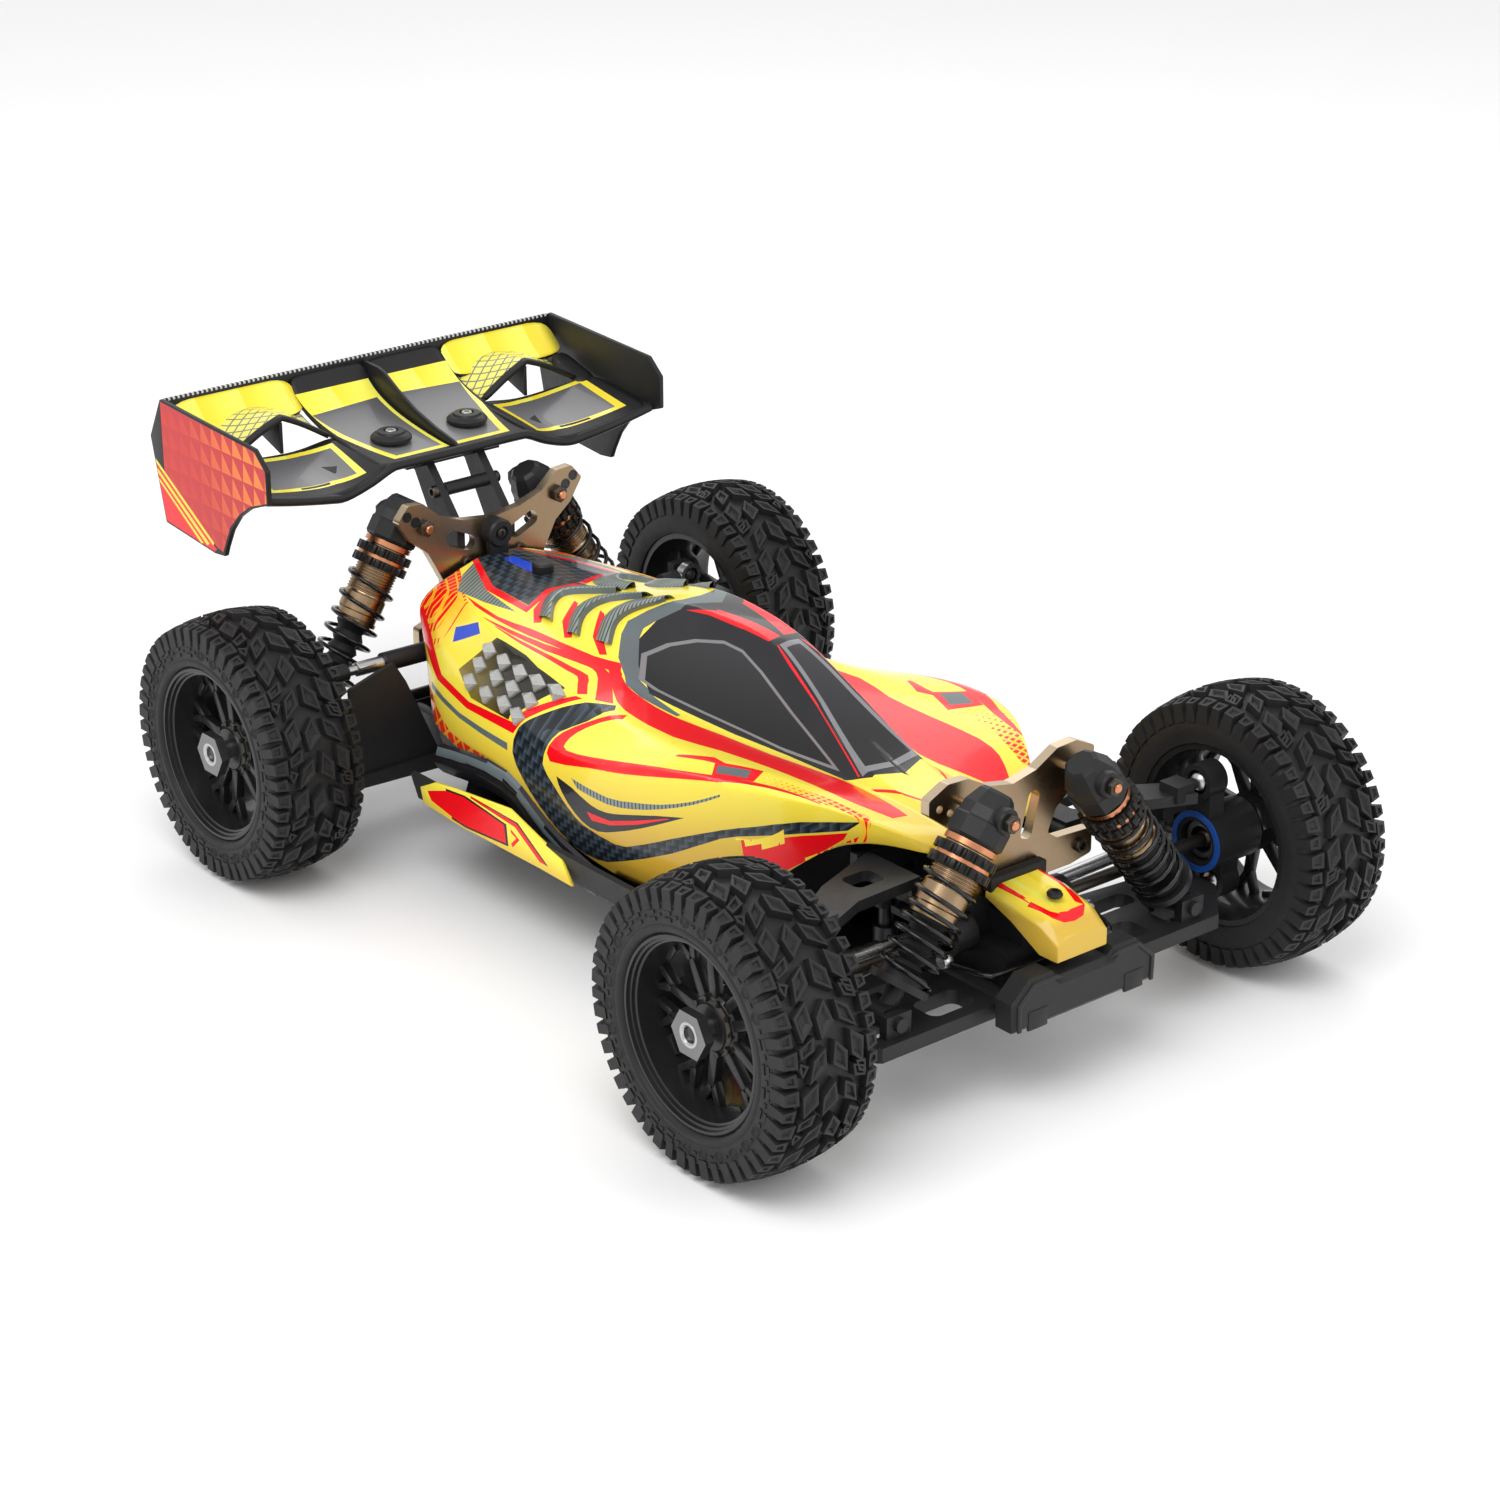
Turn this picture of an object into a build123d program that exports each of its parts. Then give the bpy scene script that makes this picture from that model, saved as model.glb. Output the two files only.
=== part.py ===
from build123d import *
import os

# A 1/8-scale electric four-wheel-drive off-road buggy.
# Millimetres, +X forward, +Y to the car's left, +Z up. The origin is on the ground under the
# middle of the car's length, between the rear of the wing and the front of the front tyres.

# ---------------------------------------------------------------- driving dimensions
# wheels
front_axle_x = 189.0
rear_axle_x = -139.0
front_track = 268.4
rear_track = 260.0
tyre_radius = 58.0
tyre_width = 44.0
tyre_wall = 3.2
tyre_shoulder = 7.0
rim_radius = 38.0
rim_width = 40.0
rim_wall = 2.0
spoke_count = 10
hex_across_flats = 17.0
hex_length = 8.0
stub_radius = 4.0
nut_length = 8.0

# frame
chassis_bottom = 26.0
chassis_thickness = 3.0
chassis_half_width = 58.0
chassis_rear_x = -166.0
kick_up_x = 152.0
chassis_front_x = 221.0
kick_up_rise = 8.0
spine_half_width = 17.0

# suspension: (y, z) of the pivots on the left side
lower_pin_y = 25.0
front_lower_pin_z = 40.0
rear_lower_pin_z = 36.0
lower_ball = (117.0, 38.0)
upper_ball = (107.0, 84.0)
upper_pin = (38.0, 78.0)
rear_outer_pin_y = 110.0
link_inner = (36.0, 81.0)
link_outer = (102.0, 82.0)
link_x_offset = 9.0
pin_radius = 2.0
pin_clearance = 0.1
eye_radius = 4.2
ball_radius = 4.5
ball_clearance = 0.6
small_ball = 3.0
small_ball_clearance = 0.8

# shocks: (y, z) of the top and bottom bolts on the left side
front_shock_x = 206.0
rear_shock_x = -158.5
front_shock_top = (26.4, 113.9)
front_shock_bottom = (76.8, 47.2)
rear_shock_top = (35.8, 133.3)
rear_shock_bottom = (90.0, 46.0)
shock_body_radius = 9.5
shock_cap_radius = 11.6
shock_collar_radius = 12.5
shock_shaft_radius = 1.75
spring_radius = 11.9
spring_wire = 1.8
front_shock_body_end = 44.0
rear_shock_body_end = 50.0
lower_cup_height = 14.6
shock_eye_radius = 5.2
shock_eye_width = 9.0
shock_bolt_radius = 1.5
shock_eye_clearance = 1.0

# drive
outdrive_y = 26.0
outdrive_radius = 8.0
drive_shaft_radius = 2.6
drive_ball_radius = 4.6
cup_bore_radius = 5.6
front_cv_y = 112.6
rear_cv_y = 100.0

# steering
post_x = 144.0
post_y = 20.0
post_radius = 3.0
crank_arm = 20.0
crank_z = 61.5
plate_z = 55.5
tie_inner = (169.0, 24.0, 50.5)
tie_outer = (169.0, 113.0, 53.0)

# towers
tower_thickness = 4.5
front_tower_x = 187.5
rear_tower_x = -144.5

# bodywork
shell_wall = 1.2
wing_half_width = 106.4
plate_thickness = 2.4
wing_wall = 2.0

os.makedirs("parts", exist_ok=True)

wheel_z = tyre_radius
chassis_top = chassis_bottom + chassis_thickness


# ---------------------------------------------------------------- small tools
def finish(part, label):
    part.label = label
    export_step(part, f"parts/{label}.step")


def finish_pair(part, end, label):
    """Write the left piece, and its mirror image for the right side."""
    finish(part, f"{end}_left_{label}")
    with BuildPart() as right:
        mirror(part, about=Plane.XZ)
    finish(right.part, f"{end}_right_{label}")


def rod(start, stop, radius, mode=Mode.ADD):
    """A round bar, or a hole, from one point to another."""
    run = Vector(*stop) - Vector(*start)
    with Locations(Plane(origin=start, z_dir=run).location):
        Cylinder(radius, run.length, align=(Align.CENTER, Align.CENTER, Align.MIN), mode=mode)


def block(low, high, mode=Mode.ADD):
    """A box between two corners."""
    size = [b - a for a, b in zip(low, high)]
    with Locations(low):
        Box(*size, align=(Align.MIN, Align.MIN, Align.MIN), mode=mode)


def slab(plane, outline, thickness, mode=Mode.ADD):
    """A flat plate of the given outline, its thickness along the plane's normal."""
    with BuildSketch(plane) as face:
        Polygon(*outline, align=None)
    extrude(face.sketch, amount=thickness, mode=mode)


def both_sides(half):
    """A closed outline from the points of its left half, top to bottom."""
    return half + [(-y, z) for y, z in reversed(half) if y > 0]


# ---------------------------------------------------------------- wheels
def make_wheel(end, axle_x, track, cv_y):
    middle = track / 2
    inner_y = middle - rim_width / 2
    outer_y = middle + rim_width / 2
    disc_y = outer_y - 12.0
    hex_y = disc_y - hex_length
    nut_y = disc_y + 8.0
    wheel_plane = Plane(origin=(axle_x, 0, wheel_z), x_dir=(1, 0, 0), z_dir=(0, 1, 0))
    bead = rim_radius + 0.5
    shoulder = min(tyre_shoulder, (tyre_radius - bead) / 2 - 0.1)

    # tyre: a hollow carcass with rounded shoulders, seated on the rim's bead
    with BuildPart() as tyre:
        with BuildSketch(Plane.YZ.offset(axle_x)):
            with Locations((middle, wheel_z + (bead + tyre_radius) / 2)):
                RectangleRounded(tyre_width, tyre_radius - bead, shoulder)
            with Locations((middle, wheel_z + (bead + tyre_radius) / 2)):
                RectangleRounded(
                    tyre_width - 2 * tyre_wall,
                    tyre_radius - bead - 2 * tyre_wall,
                    shoulder - tyre_wall,
                    mode=Mode.SUBTRACT,
                )
        revolve(axis=Axis((axle_x, 0, wheel_z), (0, 1, 0)))
    finish_pair(tyre.part, end, "tyre")

    # rim: barrel with two bead flanges, a dished disc cut into split spokes, and a hex seat
    profile = [
        (inner_y, rim_radius),
        (inner_y, rim_radius - rim_wall - 1.5),
        (disc_y + 2.0, rim_radius - rim_wall - 1.5),
        (disc_y, rim_radius - 8.0),
        (disc_y, 0),
        (disc_y + 4.0, 0),
        (disc_y + 6.0, rim_radius - 10.0),
        (outer_y, rim_radius - 2.5),
        (outer_y, rim_radius),
    ]
    with BuildPart() as rim:
        with BuildSketch(Plane.YZ.offset(axle_x)):
            with Locations((0, wheel_z)):
                Polygon(*profile, align=None)
        revolve(axis=Axis((axle_x, 0, wheel_z), (0, 1, 0)))
        rod((axle_x, hex_y, wheel_z), (axle_x, disc_y + 8.0, wheel_z), 12.5)
        with BuildSketch(wheel_plane.offset(disc_y - 1.0)):
            with PolarLocations(rim_radius / 2 + 4.6, spoke_count):
                SlotOverall(19.0, 5.0)
            with PolarLocations(rim_radius - 8.0, spoke_count, start_angle=180.0 / spoke_count):
                Circle(3.4)
        extrude(amount=14.0, mode=Mode.SUBTRACT)
        with BuildSketch(wheel_plane.offset(hex_y - 1.0)):
            RegularPolygon(hex_across_flats / 2 + 0.05, 6, major_radius=False)
        extrude(amount=hex_length + 1.0, mode=Mode.SUBTRACT)
        rod((axle_x, hex_y, wheel_z), (axle_x, outer_y, wheel_z), stub_radius + 0.1, Mode.SUBTRACT)
    finish_pair(rim.part, end, "rim")

    # stub axle with its CV bell, the hex hub and the wheel nut
    with BuildPart() as axle:
        rod((axle_x, cv_y + 6.5, wheel_z), (axle_x, outer_y - 1.5, wheel_z), stub_radius)
        rod((axle_x, cv_y - 4.5, wheel_z), (axle_x, cv_y + 8.0, wheel_z), cup_bore_radius + 2.2)
        rod((axle_x, cv_y - 4.5, wheel_z), (axle_x, cv_y + 6.0, wheel_z), cup_bore_radius, Mode.SUBTRACT)
        with BuildSketch(wheel_plane.offset(hex_y)):
            RegularPolygon(hex_across_flats / 2, 6, major_radius=False)
            Circle(stub_radius, mode=Mode.SUBTRACT)
        extrude(amount=hex_length - 0.1)
        with BuildSketch(wheel_plane.offset(nut_y)):
            RegularPolygon(hex_across_flats / 2, 6, major_radius=False)
            Circle(stub_radius, mode=Mode.SUBTRACT)
        extrude(amount=nut_length - 4.0)
    finish_pair(axle.part, end, "axle")


make_wheel("front", front_axle_x, front_track, front_cv_y)
make_wheel("rear", rear_axle_x, rear_track, rear_cv_y)


# ---------------------------------------------------------------- front suspension, left side
arm_thickness = 6.0
front_arm_rear_x = 168.0
front_arm_front_x = 219.0
ear_gap = shock_eye_width / 2 + 0.8
ear_thickness = 4.0
pin_block = 4.0
holder_gap = 0.5


def shock_ears(shock_x, bottom, arm_top):
    """Two upright lugs that hold a shock's lower eye, with the bolt through both."""
    y, z = bottom
    for side in (-1, 1):
        inner = shock_x + side * ear_gap
        outer = inner + side * ear_thickness
        block((min(inner, outer), y - 6.0, arm_top - 3.0), (max(inner, outer), y + 6.0, z + 4.0))
    block(
        (shock_x - ear_gap, y - 9.0, arm_top - 20.0),
        (shock_x + ear_gap, y + 7.5, z + 9.0),
        Mode.SUBTRACT,
    )
    reach = ear_gap + ear_thickness
    rod((shock_x - reach, y, z), (shock_x + reach + 1.0, y, z), shock_bolt_radius)
    rod((shock_x + reach, y, z), (shock_x + reach + 2.0, y, z), 2.8)


with BuildPart() as front_arm:
    top = front_lower_pin_z + arm_thickness / 2 - 0.8
    rod(
        (front_arm_rear_x, lower_pin_y, front_lower_pin_z),
        (front_arm_front_x, lower_pin_y, front_lower_pin_z),
        eye_radius,
    )
    outline = [
        (front_arm_rear_x, lower_pin_y),
        (front_arm_front_x, lower_pin_y),
        (front_arm_front_x, 88.0),
        (199.0, 107.0),
        (181.0, 107.0),
        (174.0, 84.0),
    ]
    slab(Plane.XY.offset(top - arm_thickness), outline, arm_thickness)
    with BuildSketch(Plane.XY.offset(top)):
        with Locations((185.0, 56.0)):
            RectangleRounded(10.0, 34.0, 4.0)
        with Locations((206.0, 46.0)):
            RectangleRounded(14.0, 22.0, 4.0)
    extrude(amount=-arm_thickness, mode=Mode.SUBTRACT)
    shock_ears(front_shock_x, front_shock_bottom, top)
    stem_end = lower_ball[0] - ball_radius - 0.3
    rod((front_axle_x, 106.0, lower_ball[1]), (front_axle_x, stem_end, lower_ball[1]), 2.4)
    rod(
        (front_arm_rear_x - 3.0, lower_pin_y, front_lower_pin_z),
        (front_arm_front_x + 3.0, lower_pin_y, front_lower_pin_z),
        pin_radius + pin_clearance,
        Mode.SUBTRACT,
    )
finish_pair(front_arm.part, "front", "lower_arm")

upper_rear_x = 153.5
upper_front_x = 183.0
with BuildPart() as upper_arm:
    rod((upper_rear_x, *upper_pin), (upper_front_x, *upper_pin), eye_radius)
    outline = [
        (upper_rear_x, upper_pin[0]),
        (upper_front_x, upper_pin[0]),
        (184.5, 70.0),
        (196.0, 97.5),
        (182.0, 97.5),
        (166.0, 72.0),
    ]
    slab(Plane.XY.offset(upper_pin[1] + 1.0), outline, 4.5)
    with BuildSketch(Plane.XY.offset(upper_pin[1] + 1.0)):
        with Locations((171.0, 56.0)):
            RectangleRounded(11.0, 14.0, 3.0)
    extrude(amount=4.5, mode=Mode.SUBTRACT)
    block((184.0, 88.0, upper_ball[1] - 3.5), (194.0, 97.5, upper_ball[1] + 3.5))
    stem_end = upper_ball[0] - ball_radius - 0.3
    rod((front_axle_x, 96.0, upper_ball[1]), (front_axle_x, stem_end, upper_ball[1]), 2.4)
    rod(
        (upper_rear_x - 3.0, *upper_pin),
        (upper_front_x + 3.0, *upper_pin),
        pin_radius + pin_clearance,
        Mode.SUBTRACT,
    )
finish_pair(upper_arm.part, "front", "upper_arm")

with BuildPart() as pivot_balls:
    with Locations((front_axle_x, *lower_ball), (front_axle_x, *upper_ball)):
        Sphere(ball_radius)
finish_pair(pivot_balls.part, "front", "pivot_balls")

hub_bore = cup_bore_radius + 2.2 + 0.8
hub_outer = hub_bore + 4.0
socket_outer = 7.5


with BuildPart() as knuckle:
    rod((front_axle_x, 105.5, wheel_z), (front_axle_x, 130.0, wheel_z), hub_outer)
    # lower and upper sockets for the pivot balls, joined to the hub by webs
    for y, z in (lower_ball, upper_ball):
        rod((front_axle_x, y - 3.0, z), (front_axle_x, y + 7.0, z), socket_outer)
    block((front_axle_x - 6.0, 114.0, 42.0), (front_axle_x + 6.0, 124.0, 50.0))
    block((front_axle_x - 6.0, 105.5, 66.0), (front_axle_x + 6.0, 114.0, 80.0))
    # steering arm that reaches back to the tie rod's ball
    arm_low, arm_high = wheel_z + 0.8, wheel_z + 4.6
    block((tie_outer[0] - 3.0, 114.0, arm_low), (front_axle_x, 120.0, arm_high))
    block((tie_outer[0] - 3.0, 110.0, arm_low), (tie_outer[0] + 3.0, 120.0, arm_high))
    rod(tie_outer, (tie_outer[0], tie_outer[1], arm_low + 1.0), 1.5)
    with Locations(tie_outer):
        Sphere(small_ball)
    rod((front_axle_x, 105.0, wheel_z), (front_axle_x, 121.5, wheel_z), hub_bore, Mode.SUBTRACT)
    rod((front_axle_x, 121.0, wheel_z), (front_axle_x, 131.0, wheel_z), stub_radius + 0.1, Mode.SUBTRACT)
    for y, z in (lower_ball, upper_ball):
        rod(
            (front_axle_x, y - 4.0, z),
            (front_axle_x, y + 5.4, z),
            ball_radius + ball_clearance,
            Mode.SUBTRACT,
        )
finish_pair(knuckle.part, "front", "steering_knuckle")


# ---------------------------------------------------------------- rear suspension, left side
rear_arm_rear_x = -167.0
rear_arm_front_x = -112.0
fork_gap = 10.5
fork_thickness = 4.0
with BuildPart() as rear_arm:
    bottom = rear_lower_pin_z - 3.0
    rod(
        (rear_arm_rear_x, lower_pin_y, rear_lower_pin_z),
        (rear_arm_front_x, lower_pin_y, rear_lower_pin_z),
        eye_radius,
    )
    outline = [
        (rear_arm_rear_x, lower_pin_y),
        (rear_arm_front_x, lower_pin_y),
        (-116.0, 92.0),
        (rear_axle_x + fork_gap + fork_thickness, 105.0),
        (rear_axle_x - fork_gap - fork_thickness, 105.0),
        (-168.0, 97.0),
    ]
    slab(Plane.XY.offset(bottom), outline, arm_thickness)
    for side in (-1, 1):
        inner = rear_axle_x + side * fork_gap
        outer = inner + side * fork_thickness
        low, high = min(inner, outer), max(inner, outer)
        block((low, 98.0, bottom), (high, rear_outer_pin_y, bottom + arm_thickness))
        rod((low, rear_outer_pin_y, rear_lower_pin_z), (high, rear_outer_pin_y, rear_lower_pin_z), 4.5)
    block(
        (rear_axle_x - fork_gap, 101.0, bottom - 2.0),
        (rear_axle_x + fork_gap, 118.0, bottom + 12.0),
        Mode.SUBTRACT,
    )
    with BuildSketch(Plane.XY.offset(bottom)):
        with Locations((-139.0, 60.0)):
            RectangleRounded(24.0, 36.0, 5.0)
    extrude(amount=arm_thickness, mode=Mode.SUBTRACT)
    shock_ears(rear_shock_x, rear_shock_bottom, bottom + arm_thickness)
    reach = fork_gap + fork_thickness + 0.5
    rod(
        (rear_axle_x - reach, rear_outer_pin_y, rear_lower_pin_z),
        (rear_axle_x + reach, rear_outer_pin_y, rear_lower_pin_z),
        pin_radius,
    )
    # mud guard standing on the arm's front edge
    guard = [(47.0, 37.0), (91.0, 37.0), (93.0, 79.0), (70.0, 86.0), (64.0, 76.0)]
    slab(Plane.YZ.offset(-119.0), guard, 2.0)
    rod(
        (rear_arm_rear_x - 3.0, lower_pin_y, rear_lower_pin_z),
        (rear_arm_front_x + 3.0, lower_pin_y, rear_lower_pin_z),
        pin_radius + pin_clearance,
        Mode.SUBTRACT,
    )
finish_pair(rear_arm.part, "rear", "lower_arm")

link_x = rear_axle_x + link_x_offset
with BuildPart() as hub_carrier:
    rod((rear_axle_x, 100.5, wheel_z), (rear_axle_x, 118.0, wheel_z), hub_outer)
    lug = fork_gap - 0.6
    block(
        (rear_axle_x - lug, rear_outer_pin_y - 4.6, rear_lower_pin_z),
        (rear_axle_x + lug, rear_outer_pin_y + 4.6, 50.0),
    )
    rod(
        (rear_axle_x - lug, rear_outer_pin_y, rear_lower_pin_z),
        (rear_axle_x + lug, rear_outer_pin_y, rear_lower_pin_z),
        4.6,
    )
    block((link_x - 9.0, 97.0, 66.0), (link_x - 4.5, 107.0, link_outer[1] + 4.5))
    rod((link_x - 5.0, *link_outer), (link_x, *link_outer), 1.5)
    with Locations((link_x, *link_outer)):
        Sphere(small_ball)
    rod((rear_axle_x, 98.0, wheel_z), (rear_axle_x, 109.0, wheel_z), hub_bore, Mode.SUBTRACT)
    rod((rear_axle_x, 108.0, wheel_z), (rear_axle_x, 119.0, wheel_z), stub_radius + 0.1, Mode.SUBTRACT)
    rod(
        (rear_axle_x - 12.0, rear_outer_pin_y, rear_lower_pin_z),
        (rear_axle_x + 12.0, rear_outer_pin_y, rear_lower_pin_z),
        pin_radius + pin_clearance,
        Mode.SUBTRACT,
    )
finish_pair(hub_carrier.part, "rear", "hub_carrier")


cup_radius = 5.6
cup_half_height = 2.1
cup_inset = 5.0
sleeve_inset = 22.0
sleeve_extra = 0.9


def ball_link(start, stop, radius, ring_axis, outer_play=0.0):
    """A rod with a ball cup at each end; the cups are bored along ring_axis.

    The outer cup is longer along X by outer_play each way, for a ball that swings in an arc."""
    start, stop, axis = Vector(*start), Vector(*stop), Vector(*ring_axis)
    run = (stop - start).normalized()
    play = Vector(outer_play, 0, 0)
    cups = [start, stop] if outer_play == 0 else [start, stop - play, stop, stop + play]
    rod(tuple(start + run * cup_inset), tuple(stop - run * cup_inset), radius)
    rod(tuple(start + run * sleeve_inset), tuple(stop - run * sleeve_inset), radius + sleeve_extra)
    for end in cups:
        rod(tuple(end - axis * cup_half_height), tuple(end + axis * cup_half_height), cup_radius)
    for end in cups:
        rod(
            tuple(end - axis * (cup_half_height + 1.0)),
            tuple(end + axis * (cup_half_height + 1.0)),
            small_ball + small_ball_clearance,
            Mode.SUBTRACT,
        )


with BuildPart() as camber_link:
    ball_link((link_x, *link_inner), (link_x, *link_outer), 2.2, (1, 0, 0))
finish_pair(camber_link.part, "rear", "camber_link")

tie_ball_play = 1.9
with BuildPart() as tie_rod:
    ball_link(tie_inner, tie_outer, 2.0, (0, 0, 1), tie_ball_play)
finish_pair(tie_rod.part, "front", "tie_rod")


# ---------------------------------------------------------------- shocks, left side
def make_shock(end, shock_x, top, bottom, body_end):
    """Threaded body with cap and collar; shaft with spring cup and eye; coil spring."""
    top_point, bottom_point = Vector(shock_x, *top), Vector(shock_x, *bottom)
    run = (bottom_point - top_point).normalized()
    length = (bottom_point - top_point).length

    def at(distance):
        return tuple(top_point + run * distance)

    collar_start, collar_end = 16.0, 25.0
    cup_start = length - lower_cup_height
    across = shock_eye_width / 2
    with BuildPart() as body:
        rod(at(-9.0), at(12.0), shock_cap_radius)
        rod(at(11.0), at(body_end), shock_body_radius)
        rod(at(collar_start), at(collar_end), shock_collar_radius)
        rod((shock_x - 14.0, *top), (shock_x + 14.0, *top), shock_bolt_radius + 0.1, Mode.SUBTRACT)
        rod(at(14.0), at(body_end + 1.0), shock_body_radius - 1.6, Mode.SUBTRACT)
    finish_pair(body.part, end, "shock_body")

    with BuildPart() as shaft:
        rod(at(body_end - 20.0), at(length - 3.0), shock_shaft_radius)
        rod(at(body_end - 20.0), at(body_end - 17.0), shock_body_radius - 1.9)
        rod(at(cup_start), at(cup_start + 3.0), spring_radius)
        rod(at(cup_start - 4.0), at(cup_start + 3.0), spring_radius - spring_wire - 1.2)
        rod(at(cup_start + 2.0), at(length - 2.0), 3.6)
        rod((shock_x - across, *bottom), (shock_x + across, *bottom), shock_eye_radius)
        eye_bore = shock_bolt_radius + shock_eye_clearance
        rod((shock_x - across, *bottom), (shock_x + across, *bottom), eye_bore, Mode.SUBTRACT)
    finish_pair(shaft.part, end, "shock_shaft")

    turns = 7
    wire = spring_wire / 2
    height = cup_start - collar_end - 2 * wire - 0.4
    seat = Plane(origin=at(collar_end + wire + 0.2), x_dir=(1, 0, 0), z_dir=run)
    coil = seat.location * Helix(height / turns, height, spring_radius - wire)
    with BuildPart() as spring:
        with BuildSketch(Plane(origin=coil @ 0, z_dir=coil % 0)):
            Circle(wire)
        sweep(path=coil, is_frenet=True)
    finish_pair(spring.part, end, "shock_spring")


make_shock("front", front_shock_x, front_shock_top, front_shock_bottom, front_shock_body_end)
make_shock("rear", rear_shock_x, rear_shock_top, rear_shock_bottom, rear_shock_body_end)


# ---------------------------------------------------------------- drive shafts, left side
def make_drive_shaft(end, axle_x, cv_y):
    with BuildPart() as shaft:
        rod((axle_x, outdrive_y, wheel_z), (axle_x, cv_y, wheel_z), drive_shaft_radius)
        with Locations((axle_x, outdrive_y, wheel_z), (axle_x, cv_y, wheel_z)):
            Sphere(drive_ball_radius)
    finish_pair(shaft.part, end, "drive_shaft")


make_drive_shaft("front", front_axle_x, front_cv_y)
make_drive_shaft("rear", rear_axle_x, rear_cv_y)


# ---------------------------------------------------------------- steering
crank_thickness = 3.5
with BuildPart() as bellcrank:
    rod((post_x, post_y, crank_z - 9.0), (post_x, post_y, crank_z + 3.0), 5.2)
    block(
        (post_x, post_y - 4.0, crank_z - crank_thickness / 2),
        (post_x + crank_arm, post_y + 4.0, crank_z + crank_thickness / 2),
    )
    arm_end = (post_x + crank_arm, post_y)
    rod((*arm_end, crank_z - crank_thickness / 2), (*arm_end, crank_z + crank_thickness / 2), 4.0)
    rod((*arm_end, plate_z - 1.0), (*arm_end, crank_z), 1.5)
    rod(
        (post_x, post_y, crank_z - 10.0),
        (post_x, post_y, crank_z + 4.0),
        post_radius + pin_clearance,
        Mode.SUBTRACT,
    )
finish(bellcrank.part, "left_bellcrank")
with BuildPart() as right_bellcrank:
    mirror(bellcrank.part, about=Plane.XZ)
finish(right_bellcrank.part, "right_bellcrank")

plate_rear_x = post_x + crank_arm - 8.0
crank_slot_length = 9.6
crank_slot_width = 6.0
plate_front_x = tie_inner[0] + 3.0
plate_half_width = tie_inner[1] + 4.0
with BuildPart() as steering_plate:
    block((plate_rear_x, -plate_half_width, plate_z), (plate_front_x, plate_half_width, plate_z + 3.0))
    with BuildSketch(Plane.XY.offset(plate_z)):
        with Locations((post_x + crank_arm - 1.0, post_y), (post_x + crank_arm - 1.0, -post_y)):
            SlotOverall(crank_slot_length, crank_slot_width)
    extrude(amount=3.0, mode=Mode.SUBTRACT)
    for side in (-1, 1):
        x, y, z = tie_inner[0], side * tie_inner[1], tie_inner[2]
        rod((x, y, z), (x, y, plate_z + 1.0), 1.5)
        with Locations((x, y, z)):
            Sphere(small_ball)
finish(steering_plate.part, "steering_plate")


# ---------------------------------------------------------------- frame
with BuildPart() as chassis:
    half = [
        (kick_up_x, spine_half_width),
        (kick_up_x - 14.0, 30.0),
        (112.0, 46.0),
        (84.0, chassis_half_width),
        (-86.0, chassis_half_width),
        (-106.0, 40.0),
        (-112.0, 19.0),
        (chassis_rear_x, 19.0),
    ]
    outline = half + [(x, -y) for x, y in reversed(half)]
    slab(Plane.XY.offset(chassis_bottom), outline, chassis_thickness)
    kick = [
        (kick_up_x - 1.0, chassis_bottom),
        (chassis_front_x, chassis_bottom + kick_up_rise),
        (chassis_front_x, chassis_top + kick_up_rise),
        (kick_up_x - 1.0, chassis_top),
    ]
    with BuildSketch(Plane.XZ) as kick_face:
        Polygon(*kick, align=None)
    extrude(kick_face.sketch, amount=spine_half_width, both=True)
    for side in (-1, 1):
        rod((post_x, side * post_y, chassis_top - 1.0), (post_x, side * post_y, 66.0), post_radius)
        rod((post_x, side * post_y, chassis_top - 1.0), (post_x, side * post_y, 44.0), 5.0)
finish(chassis.part, "chassis_plate")

guard_rear_x = -86.0
guard_front_x = 84.0
with BuildPart() as side_guards:
    profile = [
        (53.5, chassis_top),
        (60.0, chassis_top),
        (81.0, 36.5),
        (84.5, 49.0),
        (82.2, 49.6),
        (79.0, 38.4),
        (59.6, chassis_top + 2.4),
        (53.5, chassis_top + 2.4),
    ]
    slab(Plane.YZ.offset(guard_rear_x), profile, guard_front_x - guard_rear_x)
    mirror(about=Plane.XZ)
finish(side_guards.part, "side_guards")

bumper_rear_x = front_arm_front_x + holder_gap + pin_block
bumper_depth = 11.0
with BuildPart() as bumper:
    bar = [(-36.0, 36.0), (-36.5, 48.0), (-27.5, 56.0), (-16.0, 56.0), (-13.0, 53.0)]
    bar = bar + [(-y, z) for y, z in reversed(bar)]
    slab(Plane.YZ.offset(bumper_rear_x), bar, bumper_depth)
    chamfer(bumper.edges().filter_by(Plane.YZ).group_by(Axis.X)[-1], 2.5)
finish(bumper.part, "front_bumper")

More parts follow.
